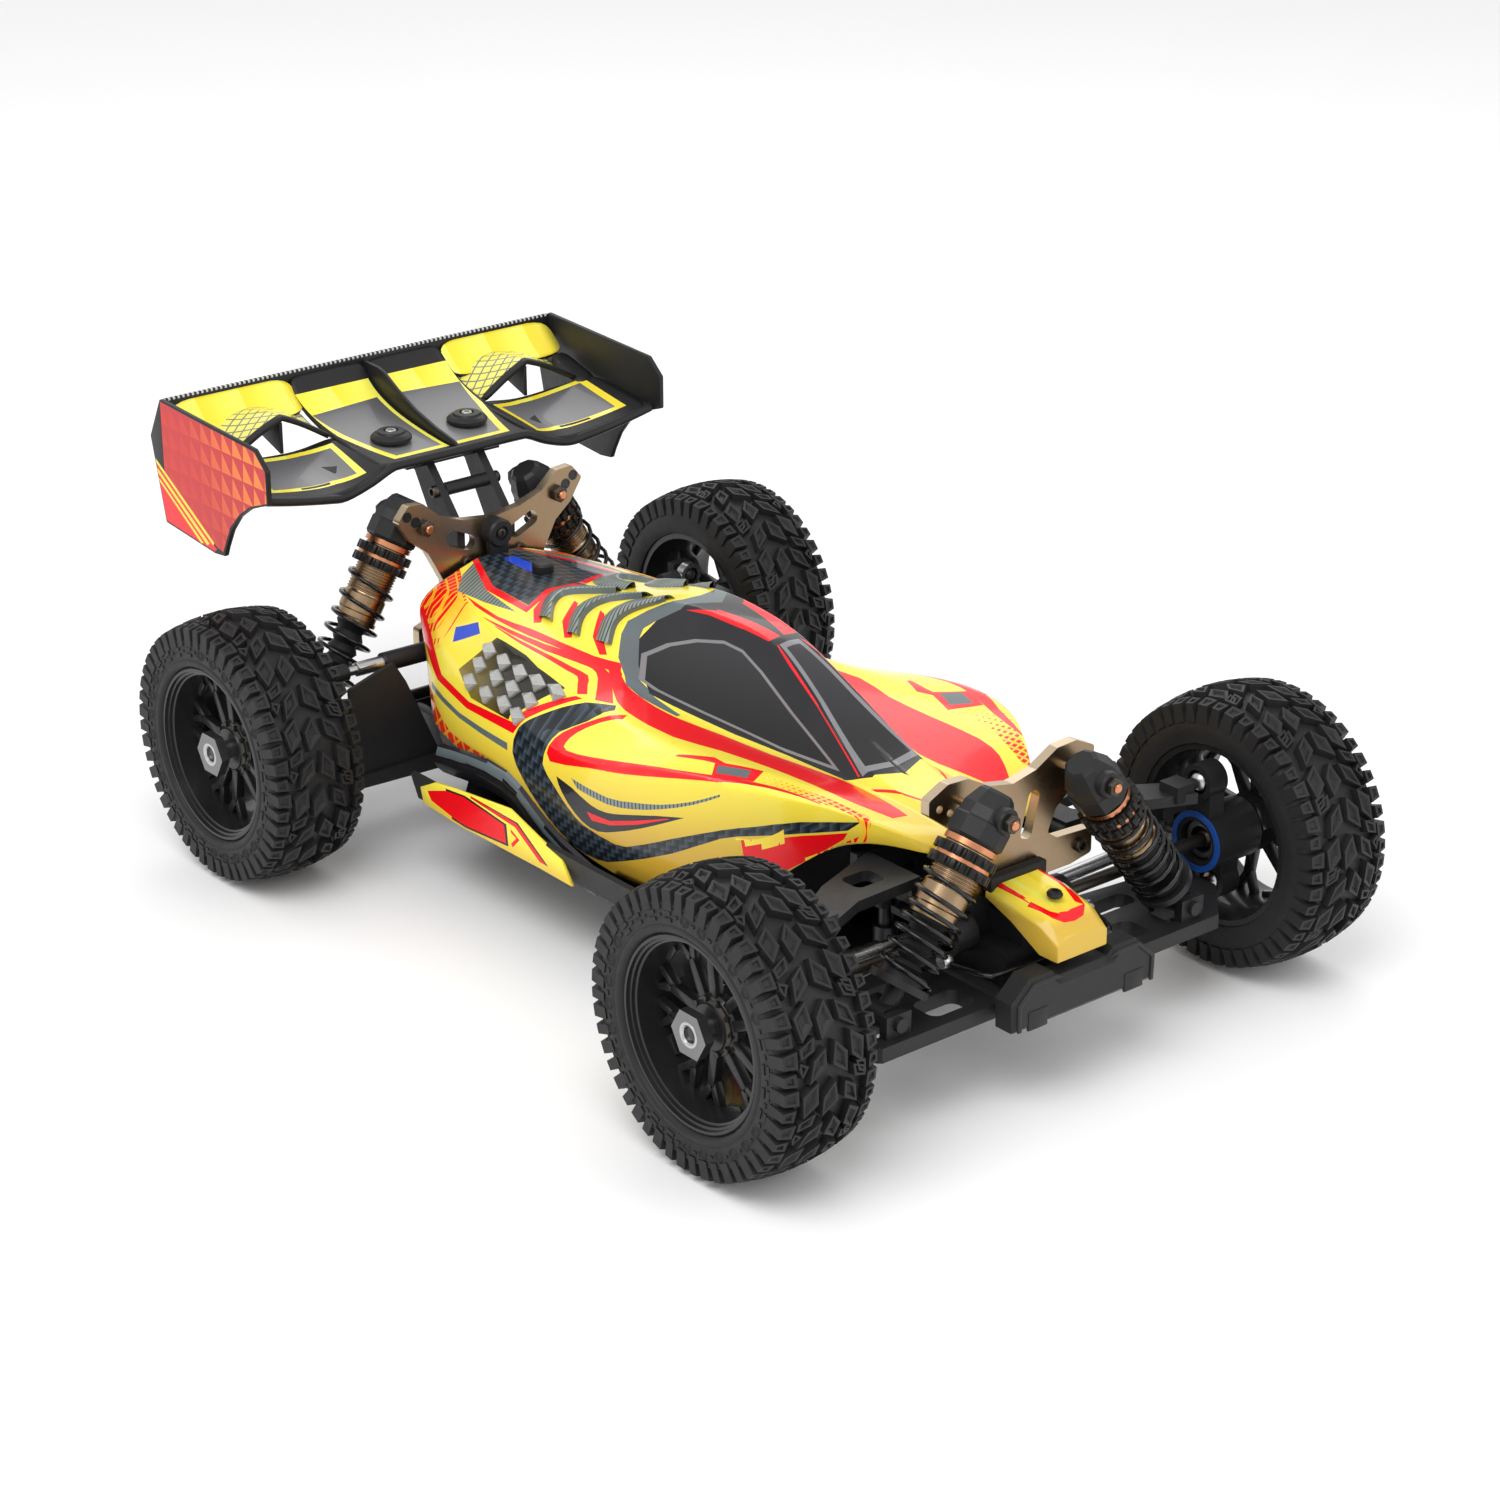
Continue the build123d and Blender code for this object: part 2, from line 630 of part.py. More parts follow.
front_tower_outline = [
    (0.0, 113.5),
    (12.0, 116.0),
    (23.0, 122.0),
    (33.0, 122.5),
    (42.5, 118.0),
    (42.5, 112.0),
    (33.0, 105.0),
    (23.0, 97.0),
    (19.0, 88.0),
    (24.0, 84.5),
    (43.0, 83.5),
    (43.0, 73.0),
    (32.0, 71.0),
]
with BuildPart() as front_tower:
    slab(Plane.YZ.offset(front_tower_x), both_sides(front_tower_outline), tower_thickness)
    fillet(front_tower.edges().filter_by(Axis.X), 1.6)
    with BuildSketch(Plane.YZ.offset(front_tower_x)):
        for side in (-1, 1):
            with Locations((side * 9.5, 98.0)):
                SlotOverall(20.0, 6.0, rotation=90 - side * 14)
            with Locations((side * 36.0, 78.0)):
                Circle(1.6)
            with Locations((side * 31.8, 110.6), (side * 37.2, 113.6)):
                Circle(1.6)
    extrude(amount=tower_thickness, mode=Mode.SUBTRACT)
    for side in (-1, 1):
        y, z = side * front_shock_top[0], front_shock_top[1]
        rod((front_tower_x - 2.0, y, z), (front_shock_x + 12.5, y, z), shock_bolt_radius)
finish(front_tower.part, "front_shock_tower")

rear_tower_outline = [
    (0.0, 130.0),
    (15.0, 132.0),
    (27.0, 136.0),
    (36.0, 144.0),
    (44.0, 144.5),
    (49.5, 138.0),
    (43.0, 128.0),
    (34.5, 121.0),
    (26.5, 106.0),
    (26.0, 92.0),
    (41.0, 87.0),
    (41.0, 76.0),
]
with BuildPart() as rear_tower:
    slab(Plane.YZ.offset(rear_tower_x), both_sides(rear_tower_outline), tower_thickness)
    fillet(rear_tower.edges().filter_by(Axis.X), 1.6)
    with BuildSketch(Plane.YZ.offset(rear_tower_x)):
        for side in (-1, 1):
            with Locations((side * 17.0, 123.0)):
                SlotOverall(16.0, 7.0, rotation=side * 24)
            with Locations((side * 40.5, 136.6), (side * 44.7, 139.8)):
                Circle(1.6)
    extrude(amount=tower_thickness, mode=Mode.SUBTRACT)
    for side in (-1, 1):
        y, z = side * rear_shock_top[0], rear_shock_top[1]
        rod((rear_tower_x + tower_thickness + 2.0, y, z), (rear_shock_x - 12.5, y, z), shock_bolt_radius)
        y, z = side * link_inner[0], link_inner[1]
        rod((rear_tower_x, y, z), (link_x, y, z), 1.5)
        with Locations((link_x, y, z)):
            Sphere(small_ball)
finish(rear_tower.part, "rear_shock_tower")


def outdrive(axle_x, side):
    """The open cup on the differential that holds a drive shaft's inner ball."""
    start = (axle_x, side * 20.0, wheel_z)
    stop = (axle_x, side * (outdrive_y + 4.5), wheel_z)
    mouth = (axle_x, side * (outdrive_y - 5.2), wheel_z)
    rod(start, stop, outdrive_radius)
    rod(mouth, stop, cup_bore_radius, Mode.SUBTRACT)


front_case_x = tie_inner[0] + cup_radius + 0.6
with BuildPart() as gearboxes:
    # front differential housing, lower front part under the nose cover
    block((front_case_x, -20.0, 40.0), (211.0, 20.0, 56.0))
    block((front_case_x, -20.0, 55.0), (front_tower_x + tower_thickness, 20.0, 71.0))
    block((190.0, -11.0, 55.0), (211.0, 11.0, 66.0))
    # rear differential housing
    block((-165.0, -19.5, chassis_top), (-116.0, 19.5, 76.0))
    for axle_x in (front_axle_x, rear_axle_x):
        for side in (-1, 1):
            outdrive(axle_x, side)
    # hinge pins and their holders
    front_low = front_lower_pin_z
    for x in (front_arm_rear_x - holder_gap - pin_block, front_arm_front_x + holder_gap):
        block((x, -30.5, front_low - 3.0), (x + pin_block, 30.5, front_low + 5.0))
    rear_low = rear_lower_pin_z
    for x in (rear_arm_rear_x - holder_gap - pin_block, rear_arm_front_x + holder_gap):
        block((x, -30.5, chassis_top), (x + pin_block, 30.5, rear_low + 5.0))
    for side in (-1, 1):
        y = side * lower_pin_y
        rod((front_arm_rear_x - 2.0, y, front_low), (front_arm_front_x + 2.0, y, front_low), pin_radius)
        rod((rear_arm_rear_x - 2.0, y, rear_low), (rear_arm_front_x + 2.0, y, rear_low), pin_radius)
        y, z = side * upper_pin[0], upper_pin[1]
        rod((upper_rear_x - 2.0, y, z), (front_tower_x - 0.2, y, z), pin_radius)
    # holder for the rear ends of the upper pins, on a leg from the chassis
    holder_x = upper_rear_x - holder_gap - pin_block
    block((holder_x, -43.0, 72.0), (holder_x + pin_block, 43.0, 83.0))
    block((holder_x, -10.0, chassis_top), (kick_up_x - 1.5, 10.0, 73.0))
    # centre differential stand
    block((4.0, -9.0, chassis_top), (30.0, 6.0, 72.0))
finish(gearboxes.part, "gearboxes")

with BuildPart() as motor:
    motor_y, motor_z, motor_radius = -30.0, 52.0, 21.0
    rod((-92.0, motor_y, motor_z), (-20.0, motor_y, motor_z), motor_radius)
    rod((-20.0, motor_y, motor_z), (-5.0, motor_y, motor_z), 2.5)
    rod((-18.0, motor_y, motor_z), (-7.0, motor_y, motor_z), 8.0)
    chamfer(motor.edges().filter_by(GeomType.CIRCLE).group_by(Axis.X)[0], 2.0)
    block((-30.0, motor_y - 17.0, chassis_top), (-24.0, motor_y + 17.0, motor_z))
finish(motor.part, "motor")

with BuildPart() as battery:
    block((-76.0, 9.0, chassis_top), (62.0, 53.0, chassis_top + 38.0))
    fillet(battery.edges().filter_by(Axis.X), 3.0)
finish(battery.part, "battery_pack")

with BuildPart() as electronics:
    # steering servo on its side, receiver box and speed controller
    block((92.0, -50.0, chassis_top), (112.0, -10.0, chassis_top + 38.0))
    block((84.0, 14.0, chassis_top), (124.0, 42.0, chassis_top + 20.0))
    block((38.0, -50.0, chassis_top), (84.0, -14.0, chassis_top + 30.0))
finish(electronics.part, "electronics")


# ---------------------------------------------------------------- bodywork
# Half sections of the body shell, from the middle of the top outwards and down:
# (centre height), then (y, z) of the roof edge, the foot of the cabin, the inner shoulder,
# the outer crest and the lower edge.
shell_sections = {
    -137.0: (114.8, (11.0, 114.3), (20.0, 111.5), (33.0, 107.0), (38.0, 104.0), (42.0, 100.0)),
    -120.0: (114.6, (12.0, 114.2), (22.0, 112.0), (34.0, 108.5), (46.0, 92.0), (50.0, 79.0)),
    -102.0: (114.5, (14.0, 114.2), (26.0, 112.0), (40.0, 108.5), (57.0, 84.0), (62.0, 52.0)),
    -60.0: (119.0, (17.0, 118.0), (33.0, 113.0), (51.0, 107.0), (64.0, 82.0), (69.0, 54.0)),
    -30.0: (127.0, (16.0, 126.0), (35.0, 110.0), (56.0, 106.0), (69.0, 83.0), (72.0, 59.0)),
    0.0: (136.5, (12.5, 135.5), (29.0, 101.0), (53.0, 98.0), (75.0, 82.0), (74.0, 50.0)),
    30.0: (137.0, (10.5, 136.2), (27.5, 98.0), (54.0, 99.0), (77.0, 90.0), (73.0, 43.0)),
    63.0: (134.6, (7.0, 134.2), (25.0, 97.0), (56.0, 101.0), (77.0, 98.5), (71.0, 43.0)),
    95.0: (115.5, (11.0, 115.0), (19.0, 95.5), (52.0, 103.5), (73.0, 104.0), (67.0, 46.0)),
    125.0: (98.0, (14.5, 97.5), (17.0, 95.0), (44.0, 103.0), (64.0, 106.5), (60.0, 66.0)),
    150.0: (96.0, (10.0, 96.0), (17.0, 95.0), (32.0, 99.0), (49.0, 103.0), (48.0, 93.0)),
    180.0: (93.0, (8.0, 92.8), (14.0, 91.5), (20.0, 90.5), (25.0, 89.5), (27.0, 87.0)),
}


def shell_skin(inset):
    """One row of points per station, from the left lower edge over the top to the right one."""
    rows = []
    for x, (centre, *points) in shell_sections.items():
        half = [(y - inset, z - inset) for y, z in points]
        across = [*reversed(half), (0.0, centre - inset), *[(-y, z) for y, z in half]]
        rows.append([Vector(x, y, z) for y, z in across])
    return rows


def patches(row_a, row_b):
    """Ruled faces between two rows of points."""
    return [
        Face.make_bezier_surface([[row_a[i], row_a[i + 1]], [row_b[i], row_b[i + 1]]])
        for i in range(len(row_a) - 1)
    ]


outer_rows = shell_skin(0.0)
inner_rows = shell_skin(shell_wall * 0.8)
skin = patches(outer_rows[0], inner_rows[0]) + patches(outer_rows[-1], inner_rows[-1])
for rows in (outer_rows, inner_rows):
    for row_a, row_b in zip(rows, rows[1:]):
        skin += patches(row_a, row_b)
for edge in (0, -1):
    skin += patches([row[edge] for row in outer_rows], [row[edge] for row in inner_rows])
with BuildPart() as body_shell:
    add(Solid(Shell(skin)))
finish(body_shell.part, "body_shell")

cover_rear_x = front_tower_x + tower_thickness + 1.5
cover_tip_x = 231.7
# (x, half width, height of the top, height of the lower edge)
cover_sections = [
    (cover_rear_x, 14.4, 77.5, 71.5),
    (208.0, 14.6, 76.0, 66.5),
    (223.0, 14.0, 72.5, 58.0),
    (cover_tip_x, 12.9, 67.0, 57.5),
]


def cover_outline(half_width, top_z, low_z, inset=0.0):
    side_y, top = half_width - inset, top_z - inset
    half = [(side_y - 4.0, top), (side_y, top - 3.0), (side_y, low_z)]
    return both_sides([(0.0, top)] + half)


with BuildPart() as nose_cover:
    for x, half_width, top_z, low_z in cover_sections:
        with BuildSketch(Plane.YZ.offset(x)):
            Polygon(*cover_outline(half_width, top_z, low_z), align=None)
    loft(ruled=True)
    with BuildPart(mode=Mode.PRIVATE) as cover_hollow:
        for number, (x, half_width, top_z, low_z) in enumerate(cover_sections):
            shift = -0.5 if number == 0 else -shell_wall if x == cover_tip_x else 0.0
            with BuildSketch(Plane.YZ.offset(x + shift)):
                Polygon(*cover_outline(half_width, top_z, low_z - 2.0, shell_wall), align=None)
        loft(ruled=True)
    add(cover_hollow.part, mode=Mode.SUBTRACT)
finish(nose_cover.part, "nose_cover")

deck_profile = [
    (-160.0, 155.5),
    (-175.0, 157.0),
    (-200.0, 159.5),
    (-220.0, 164.0),
    (-231.0, 171.0),
    (-238.0, 179.0),
]
end_plate_outline = [
    (-238.0, 182.1),
    (-161.0, 178.3),
    (-152.0, 170.5),
    (-152.0, 155.5),
    (-160.0, 142.0),
    (-175.0, 130.0),
    (-197.9, 121.5),
    (-238.0, 125.0),
    (-247.0, 163.3),
]
with BuildPart() as wing:
    deck = deck_profile + [(x, z - wing_wall) for x, z in reversed(deck_profile)]
    with BuildSketch(Plane.XZ) as deck_face:
        Polygon(*deck, align=None)
    extrude(deck_face.sketch, amount=wing_half_width - 1.0, both=True)
    for side in (-1, 1):
        outer = side * wing_half_width
        inner = outer - side * plate_thickness
        with BuildSketch(Plane.XZ.offset(-max(outer, inner))) as plate_face:
            Polygon(*end_plate_outline, align=None)
        extrude(plate_face.sketch, amount=plate_thickness)
    fin = [(-162.0, 155.0), (-166.0, 158.0), (-224.0, 178.5), (-236.0, 178.5), (-236.0, 175.0)]
    fin = fin + [(-220.0, 163.0), (-200.0, 158.5), (-175.0, 156.0)]
    with BuildSketch(Plane.XZ) as fin_face:
        Polygon(*fin, align=None)
    extrude(fin_face.sketch, amount=0.9, both=True)
finish(wing.part, "rear_wing")

with BuildPart() as wing_mount:
    strut = [
        (rear_tower_x - 0.2, 96.0),
        (rear_tower_x - 0.2, 126.0),
        (-168.0, 152.8),
        (-198.0, 155.8),
        (-198.0, 151.0),
        (-176.0, 146.0),
        (-156.0, 112.0),
    ]
    for side in (-1, 1):
        with BuildSketch(Plane.XZ.offset(-side * 13.5)) as strut_face:
            Polygon(*strut, align=None)
        extrude(strut_face.sketch, amount=2.0, both=True)
    flange = [(-168.0, 152.8), (-198.0, 155.8), (-198.0, 152.8), (-168.0, 149.8)]
    with BuildSketch(Plane.XZ) as flange_face:
        Polygon(*flange, align=None)
    extrude(flange_face.sketch, amount=25.0, both=True)
finish(wing_mount.part, "wing_mount")
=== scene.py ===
import math

import bmesh
import bpy
from mathutils import Matrix, Vector
from mathutils.bvhtree import BVHTree


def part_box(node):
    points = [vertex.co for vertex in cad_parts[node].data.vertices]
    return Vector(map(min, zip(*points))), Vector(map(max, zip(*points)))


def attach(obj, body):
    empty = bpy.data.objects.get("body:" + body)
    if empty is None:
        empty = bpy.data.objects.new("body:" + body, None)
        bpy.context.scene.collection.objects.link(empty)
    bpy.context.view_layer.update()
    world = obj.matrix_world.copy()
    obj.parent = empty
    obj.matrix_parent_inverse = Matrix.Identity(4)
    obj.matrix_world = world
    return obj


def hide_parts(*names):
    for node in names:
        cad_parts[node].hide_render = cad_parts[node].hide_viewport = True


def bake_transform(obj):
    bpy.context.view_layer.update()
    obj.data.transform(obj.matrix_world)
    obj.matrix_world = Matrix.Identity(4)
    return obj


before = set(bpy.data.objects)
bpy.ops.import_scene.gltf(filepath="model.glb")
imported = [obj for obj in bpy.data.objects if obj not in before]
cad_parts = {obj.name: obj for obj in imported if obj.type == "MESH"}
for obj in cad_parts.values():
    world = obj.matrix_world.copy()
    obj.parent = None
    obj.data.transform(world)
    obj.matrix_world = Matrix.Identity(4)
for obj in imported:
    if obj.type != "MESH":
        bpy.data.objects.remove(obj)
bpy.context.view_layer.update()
MM = 0.001


# ---------------------------------------------------------------- studio
# A pale sweep under the car, three soft lights and a long lens at a front corner, a little above.
def deselect():
    bpy.ops.object.select_all(action="DESELECT")


def active(name):
    """The object just added by an operator, with its name set."""
    obj = bpy.context.object
    obj.name = obj.data.name = name
    return obj


deselect()
bpy.ops.mesh.primitive_plane_add(size=12.0, location=(0, 0, 0))
floor = active("studio_floor")
floor_paint = bpy.data.materials.new("studio_floor")
floor_paint.use_nodes = True
floor_shader = floor_paint.node_tree.nodes["Principled BSDF"]
floor_shader.inputs["Base Color"].default_value = (0.93, 0.93, 0.93, 1)
floor_shader.inputs["Roughness"].default_value = 0.75
floor.data.materials.append(floor_paint)

world = bpy.data.worlds.new("studio")
world.use_nodes = True
world.node_tree.nodes["Background"].inputs[0].default_value = (1, 1, 1, 1)
world.node_tree.nodes["Background"].inputs[1].default_value = 0.9
bpy.context.scene.world = world
bpy.context.scene.view_settings.view_transform = "Standard"


def soft_light(name, place, aim, size, power):
    deselect()
    bpy.ops.object.light_add(type="AREA", location=place)
    light = active(name)
    light.data.shape = "RECTANGLE"
    light.data.size, light.data.size_y = size
    light.data.energy = power
    light.rotation_euler = (Vector(aim) - Vector(place)).to_track_quat("-Z", "Y").to_euler()


soft_light("key_light", (0.5, -0.9, 1.5), (0, 0, 0.05), (1.3, 0.9), 15.0)
soft_light("back_light", (-0.9, 0.9, 1.1), (0, 0, 0.08), (1.4, 0.5), 3.5)
soft_light("front_strip", (1.5, 0.5, 0.7), (0.1, 0, 0.08), (0.4, 1.4), 4.0)

camera_place = Vector((1.07177, -0.85550, 0.64852))
camera_heading = math.radians(50.36)
camera_dip = math.radians(23.07)
bpy.ops.object.camera_add(location=camera_place)
camera = active("camera")
camera.data.sensor_width = 36.0
camera.data.lens = 85.49
camera.data.clip_start = 0.05
camera.rotation_euler = (math.pi / 2 - camera_dip, 0.0019, camera_heading)
bpy.context.scene.camera = camera


# ---------------------------------------------------------------- body shell
# One sheet of clear polycarbonate, vacuum formed over a buck, painted inside in yellow and red
# with masked stripes, carbon-look bands and dark windows, and trimmed along its lower edge.
class Socket:
    """A shader value that can be used in plain maths; each operation adds its node."""

    def __init__(self, tree, out):
        self.tree, self.out = tree, out

    def node(self, kind, *values, out=0, **settings):
        made = self.tree.nodes.new("ShaderNode" + kind)
        for name, setting in settings.items():
            setattr(made, name, setting)
        for socket, value in zip(made.inputs, values):
            if isinstance(value, Socket):
                self.tree.links.new(value.out, socket)
            elif value is not None:
                socket.default_value = value
        return Socket(self.tree, made.outputs[out])

    def math(self, operation, *values):
        return self.node("Math", *values, operation=operation)

    def __add__(self, other):
        return self.math("ADD", self, other)

    def __sub__(self, other):
        return self.math("SUBTRACT", self, other)

    def __rsub__(self, other):
        return self.math("SUBTRACT", other, self)

    def __mul__(self, other):
        return self.math("MULTIPLY", self, other)

    def __truediv__(self, other):
        return self.math("DIVIDE", self, other)

    def __gt__(self, other):
        return self.math("GREATER_THAN", self, other)

    def __lt__(self, other):
        return self.math("LESS_THAN", self, other)

    __radd__, __rmul__ = __add__, __mul__

    def fract(self):
        return self.math("FRACT", self)

    def size(self):
        return self.math("ABSOLUTE", self)

    def ramp(self, low, high):
        """0 below low, 1 above high, smooth between."""
        return self.node("MapRange", self, low, high, 0.0, 1.0, interpolation_type="SMOOTHSTEP")

    def blend(self, dark, light):
        """A colour from one to the other as this value goes from 0 to 1."""
        mix = self.tree.nodes.new("ShaderNodeMix")
        mix.data_type = "RGBA"
        self.tree.links.new(self.out, mix.inputs[0])
        for socket, colour in ((mix.inputs[6], dark), (mix.inputs[7], light)):
            if isinstance(colour, Socket):
                self.tree.links.new(colour.out, socket)
            else:
                socket.default_value = (*colour, 1)
        return Socket(self.tree, mix.outputs[2])


class Finish:
    """A material with its shader, and the object's own coordinates in metres."""

    def __init__(self, name, roughness=0.5, metallic=0.0, coat=0.0):
        self.material = bpy.data.materials.new(name)
        self.material.use_nodes = True
        self.tree = self.material.node_tree
        self.shader = self.tree.nodes["Principled BSDF"]
        self.shader.inputs["Metallic"].default_value = metallic
        self.shader.inputs["Roughness"].default_value = roughness
        self.shader.inputs["Coat Weight"].default_value = coat
        self.shader.inputs["Coat Roughness"].default_value = 0.05
        self.shader.inputs["Specular IOR Level"].default_value = 0.28
        start = Socket(self.tree, None)
        self.place = start.node("TexCoord", out=3)
        split = start.node("SeparateXYZ", self.place)
        outs = split.out.node.outputs
        self.x, self.y, self.z = (Socket(self.tree, outs[i]) for i in range(3))

    def set(self, name, value):
        if isinstance(value, Socket):
            self.tree.links.new(value.out, self.shader.inputs[name])
        else:
            value = (*value, 1) if isinstance(value, tuple) else value
            self.shader.inputs[name].default_value = value

    def noise(self, scale, detail=3.0):
        return self.place.node("TexNoise", self.place, None, scale, detail)

    def bump(self, height, strength, depth):
        made = self.place.node("Bump", strength, depth)
        self.tree.links.new(height.out, made.out.node.inputs["Height"])
        self.set("Normal", made)


def plain(name, colour, roughness, metallic=0.0, coat=0.0, grain=0.0, scale=900.0, vary=0.12):
    """A finish of one colour with its own mottling, uneven gloss and surface grain."""
    made = Finish(name, roughness, metallic, coat)
    cloud = made.noise(scale / 12)
    shade = tuple(channel * (1 - vary) for channel in colour)
    light = tuple(min(channel * (1 + vary), 1.0) for channel in colour)
    made.set("Base Color", cloud.blend(shade, light))
    made.set("Roughness", made.noise(scale / 5) * 0.16 + (roughness - 0.08))
    if grain:
        made.bump(made.noise(scale), grain, 0.0004)
    return made.material


def sheet(name, rows, creases, levels):
    """A sheet of quads through rows of points, creased along some of its lines and subdivided."""
    mesh = bpy.data.meshes.new(name)
    obj = bpy.data.objects.new(name, mesh)
    bpy.context.scene.collection.objects.link(obj)
    shape = bmesh.new()
    sharp = shape.edges.layers.float.new("crease_edge")
    grid = [[shape.verts.new(Vector(point) * MM) for point in row] for row in rows]
    for back, front in zip(grid, grid[1:]):
        for i in range(len(back) - 1):
            shape.faces.new((back[i], back[i + 1], front[i + 1], front[i]))
    for back, front in zip(grid, grid[1:]):
        for i, value in creases.items():
            shape.edges.get((back[i], front[i]))[sharp] = value
    bmesh.ops.recalc_face_normals(shape, faces=shape.faces)
    shape.to_mesh(mesh)
    shape.free()
    change(obj, "SUBSURF", levels=levels, render_levels=levels)
    return obj


def change(obj, kind, **settings):
    """Adds one modifier to an object and applies it."""
    deselect()
    bpy.context.view_layer.objects.active = obj
    obj.select_set(True)
    made = obj.modifiers.new(kind.lower(), kind)
    for name, setting in settings.items():
        setattr(made, name, setting)
    bpy.ops.object.modifier_apply(modifier=made.name)


# x, height at the middle, then roof edge, cabin foot, inner shoulder, outer crest and lower edge
body_sections = (
    (-137, 114.8, (11, 114.3), (20, 111.5), (33, 107), (38, 104), (40, 102), (42, 100)),
    (-133, 114.8, (11, 114.3), (20, 111.6), (35, 107.3), (39, 104), (44, 99), (45, 95)),
    (-120, 114.6, (12, 114.2), (22, 112), (34, 108.5), (46, 100), (51, 90), (50, 79)),
    (-102, 114.5, (14, 114.2), (26, 112), (40, 108.5), (55, 90), (62, 72), (62, 52)),
    (-60, 119, (17, 118), (33, 113), (51, 107), (64, 86), (69, 70), (69, 54)),
    (-30, 127, (16, 126), (35, 110), (56, 106), (68, 87), (73, 74), (72, 59)),
    (0, 136.5, (12.5, 135.5), (29, 101), (53, 98), (73, 84), (77, 70), (74, 50)),
    (30, 137, (10.5, 136.2), (27.5, 98), (54, 99), (77, 90), (79, 68), (73, 43)),
    (63, 134.6, (7, 134.2), (25, 97), (56, 101), (77, 98.5), (77, 72), (71, 43)),
    (95, 115.5, (11, 115), (19, 95.5), (52, 103.5), (73, 104), (72, 76), (67, 46)),
    (125, 98, (14.5, 97.5), (17, 95), (44, 103), (64, 106.5), (64, 86), (60, 66)),
    (150, 96, (10, 96), (17, 95), (32, 99), (49, 103), (50, 98), (48, 93)),
    (180, 93, (8, 92.8), (14, 91.5), (20, 90.5), (25, 89.5), (26, 88), (27, 87)),
)
body_rows = []
for x, middle, *half in body_sections:
    left = [(x, y, z) for y, z in half]
    right = [(x, -y, z) for y, z in reversed(half)]
    body_rows.append(right + [(x, 0, middle)] + left)
body_creases = {7: 0.75, 5: 0.75, 8: 0.85, 4: 0.85, 9: 0.55, 3: 0.55, 10: 0.8, 2: 0.8, 0: 1, 12: 1}
shell = sheet("body_shell_skin", body_rows, body_creases, 3)


# ---------------------------------------------------------------- body paint
# Masked colours on the shell: each band is cut into the sheet along its own edges, so that the
# lines stay crisp, and takes a gloss lacquer; dots, weave and hatching fill some of them.
def lacquer(name, roughness=0.22):
    return Finish(name, roughness, 0.0, 0.3)


def dots(one, two, pitch, slant=0.5):
    """1 near the middle of each cell of a slanting grid, 0 along its edges."""
    a = ((one + two * slant) / pitch).fract() - 0.5
    b = ((one * slant - two) / pitch).fract() - 0.5
    return 0.5 - a.size().math("MAXIMUM", a.size(), b.size())


yellow, red = (1.0, 0.83, 0.07), (0.88, 0.004, 0.010)
shaded_yellow, ink = (0.55, 0.28, 0.03), (0.008, 0.008, 0.010)

yellow_paint = lacquer("paint_yellow")
# Low on the sides, and more so towards the nose, the yellow darkens to a deep ochre: painted shade, with a
# little mottling.
shade = (yellow_paint.z * 1000 - yellow_paint.x * 120).ramp(96.0, 52.0)
painted_shade_fade = shade * 0.75 + yellow_paint.noise(9) * 0.1
yellow_paint.set("Base Color", painted_shade_fade.blend(yellow, shaded_yellow))
yellow_paint.set("Roughness", yellow_paint.noise(30) * 0.08 + 0.18)

red_paint = lacquer("paint_red")
red_paint.set("Base Color", red_paint.noise(14).blend((0.93, 0.003, 0.012), (0.80, 0.004, 0.008)))
red_paint.set("Roughness", red_paint.noise(30) * 0.08 + 0.18)

tail_paint = lacquer("paint_tail_dots")
fade = (tail_paint.x * 1000 + tail_paint.y.size() * 250).ramp(-78.0, -122.0)
tail_base = fade.blend(yellow, (0.95, 0.42, 0.02))
spot = (dots(tail_paint.x, tail_paint.z + tail_paint.y.size(), 0.0036) + fade * 0.42) > 0.52
tail_paint.set("Base Color", spot.blend(tail_base, red))

front_paint = lacquer("paint_front_dots")
fade = (front_paint.x * 1000 - front_paint.y.size() * 500).ramp(66.0, 132.0)
front_base = fade.blend(yellow, (0.98, 0.55, 0.03))
spot = (dots(front_paint.x, front_paint.y, 0.0030, 0.2) + fade * 0.34) > 0.50
front_paint.set("Base Color", spot.blend(front_base, red))

grid_paint = lacquer("paint_net")
lines = dots(grid_paint.x, grid_paint.z, 0.0085, 0.75) < 0.10
grid_paint.set("Base Color", lines.blend((0.90, 0.03, 0.010), (0.98, 0.42, 0.03)))

carbon_paint = lacquer("paint_weave", 0.3)
cell = 0.0034
along = carbon_paint.x / cell
across = (carbon_paint.z + carbon_paint.y.size()) / cell
turn = ((along.math("FLOOR", along) + across.math("FLOOR", across)) * 0.5).fract() > 0.25
tow_height = 1 - (turn * along.fract() + (1 - turn) * across.fract())
carbon_paint.set("Base Color", (tow_height * tow_height).blend((0.006, 0.009, 0.013),
                                                               (0.060, 0.082, 0.105)))
carbon_paint.bump(tow_height, 0.12, 0.0003)

slate_paint = lacquer("paint_slate", 0.3)
slate_paint.set("Base Color", slate_paint.noise(60).blend((0.095, 0.12, 0.13), (0.14, 0.17, 0.18)))
ink_paint = lacquer("paint_black")
ink_paint.set("Base Color", ink_paint.noise(60).blend(ink, (0.018, 0.018, 0.022)))
window_paint = lacquer("paint_window", 0.15)
# The window black lightens towards the top: a painted reflection of the light from above.
window_painted_sheen = (window_paint.z * 1000).ramp(95.0, 135.0)
window_paint.set("Base Color", window_painted_sheen.blend((0.007, 0.007, 0.008), (0.030, 0.030, 0.034)))
pane_line_paint = lacquer("paint_window_line")
pane_line_paint.set("Base Color", pane_line_paint.noise(60).blend((0.17, 0.17, 0.18), (0.25, 0.25, 0.26)))
blue_paint = lacquer("paint_blue")
blue_paint.set("Base Color", blue_paint.noise(40).blend((0.010, 0.045, 0.50), (0.018, 0.08, 0.65)))
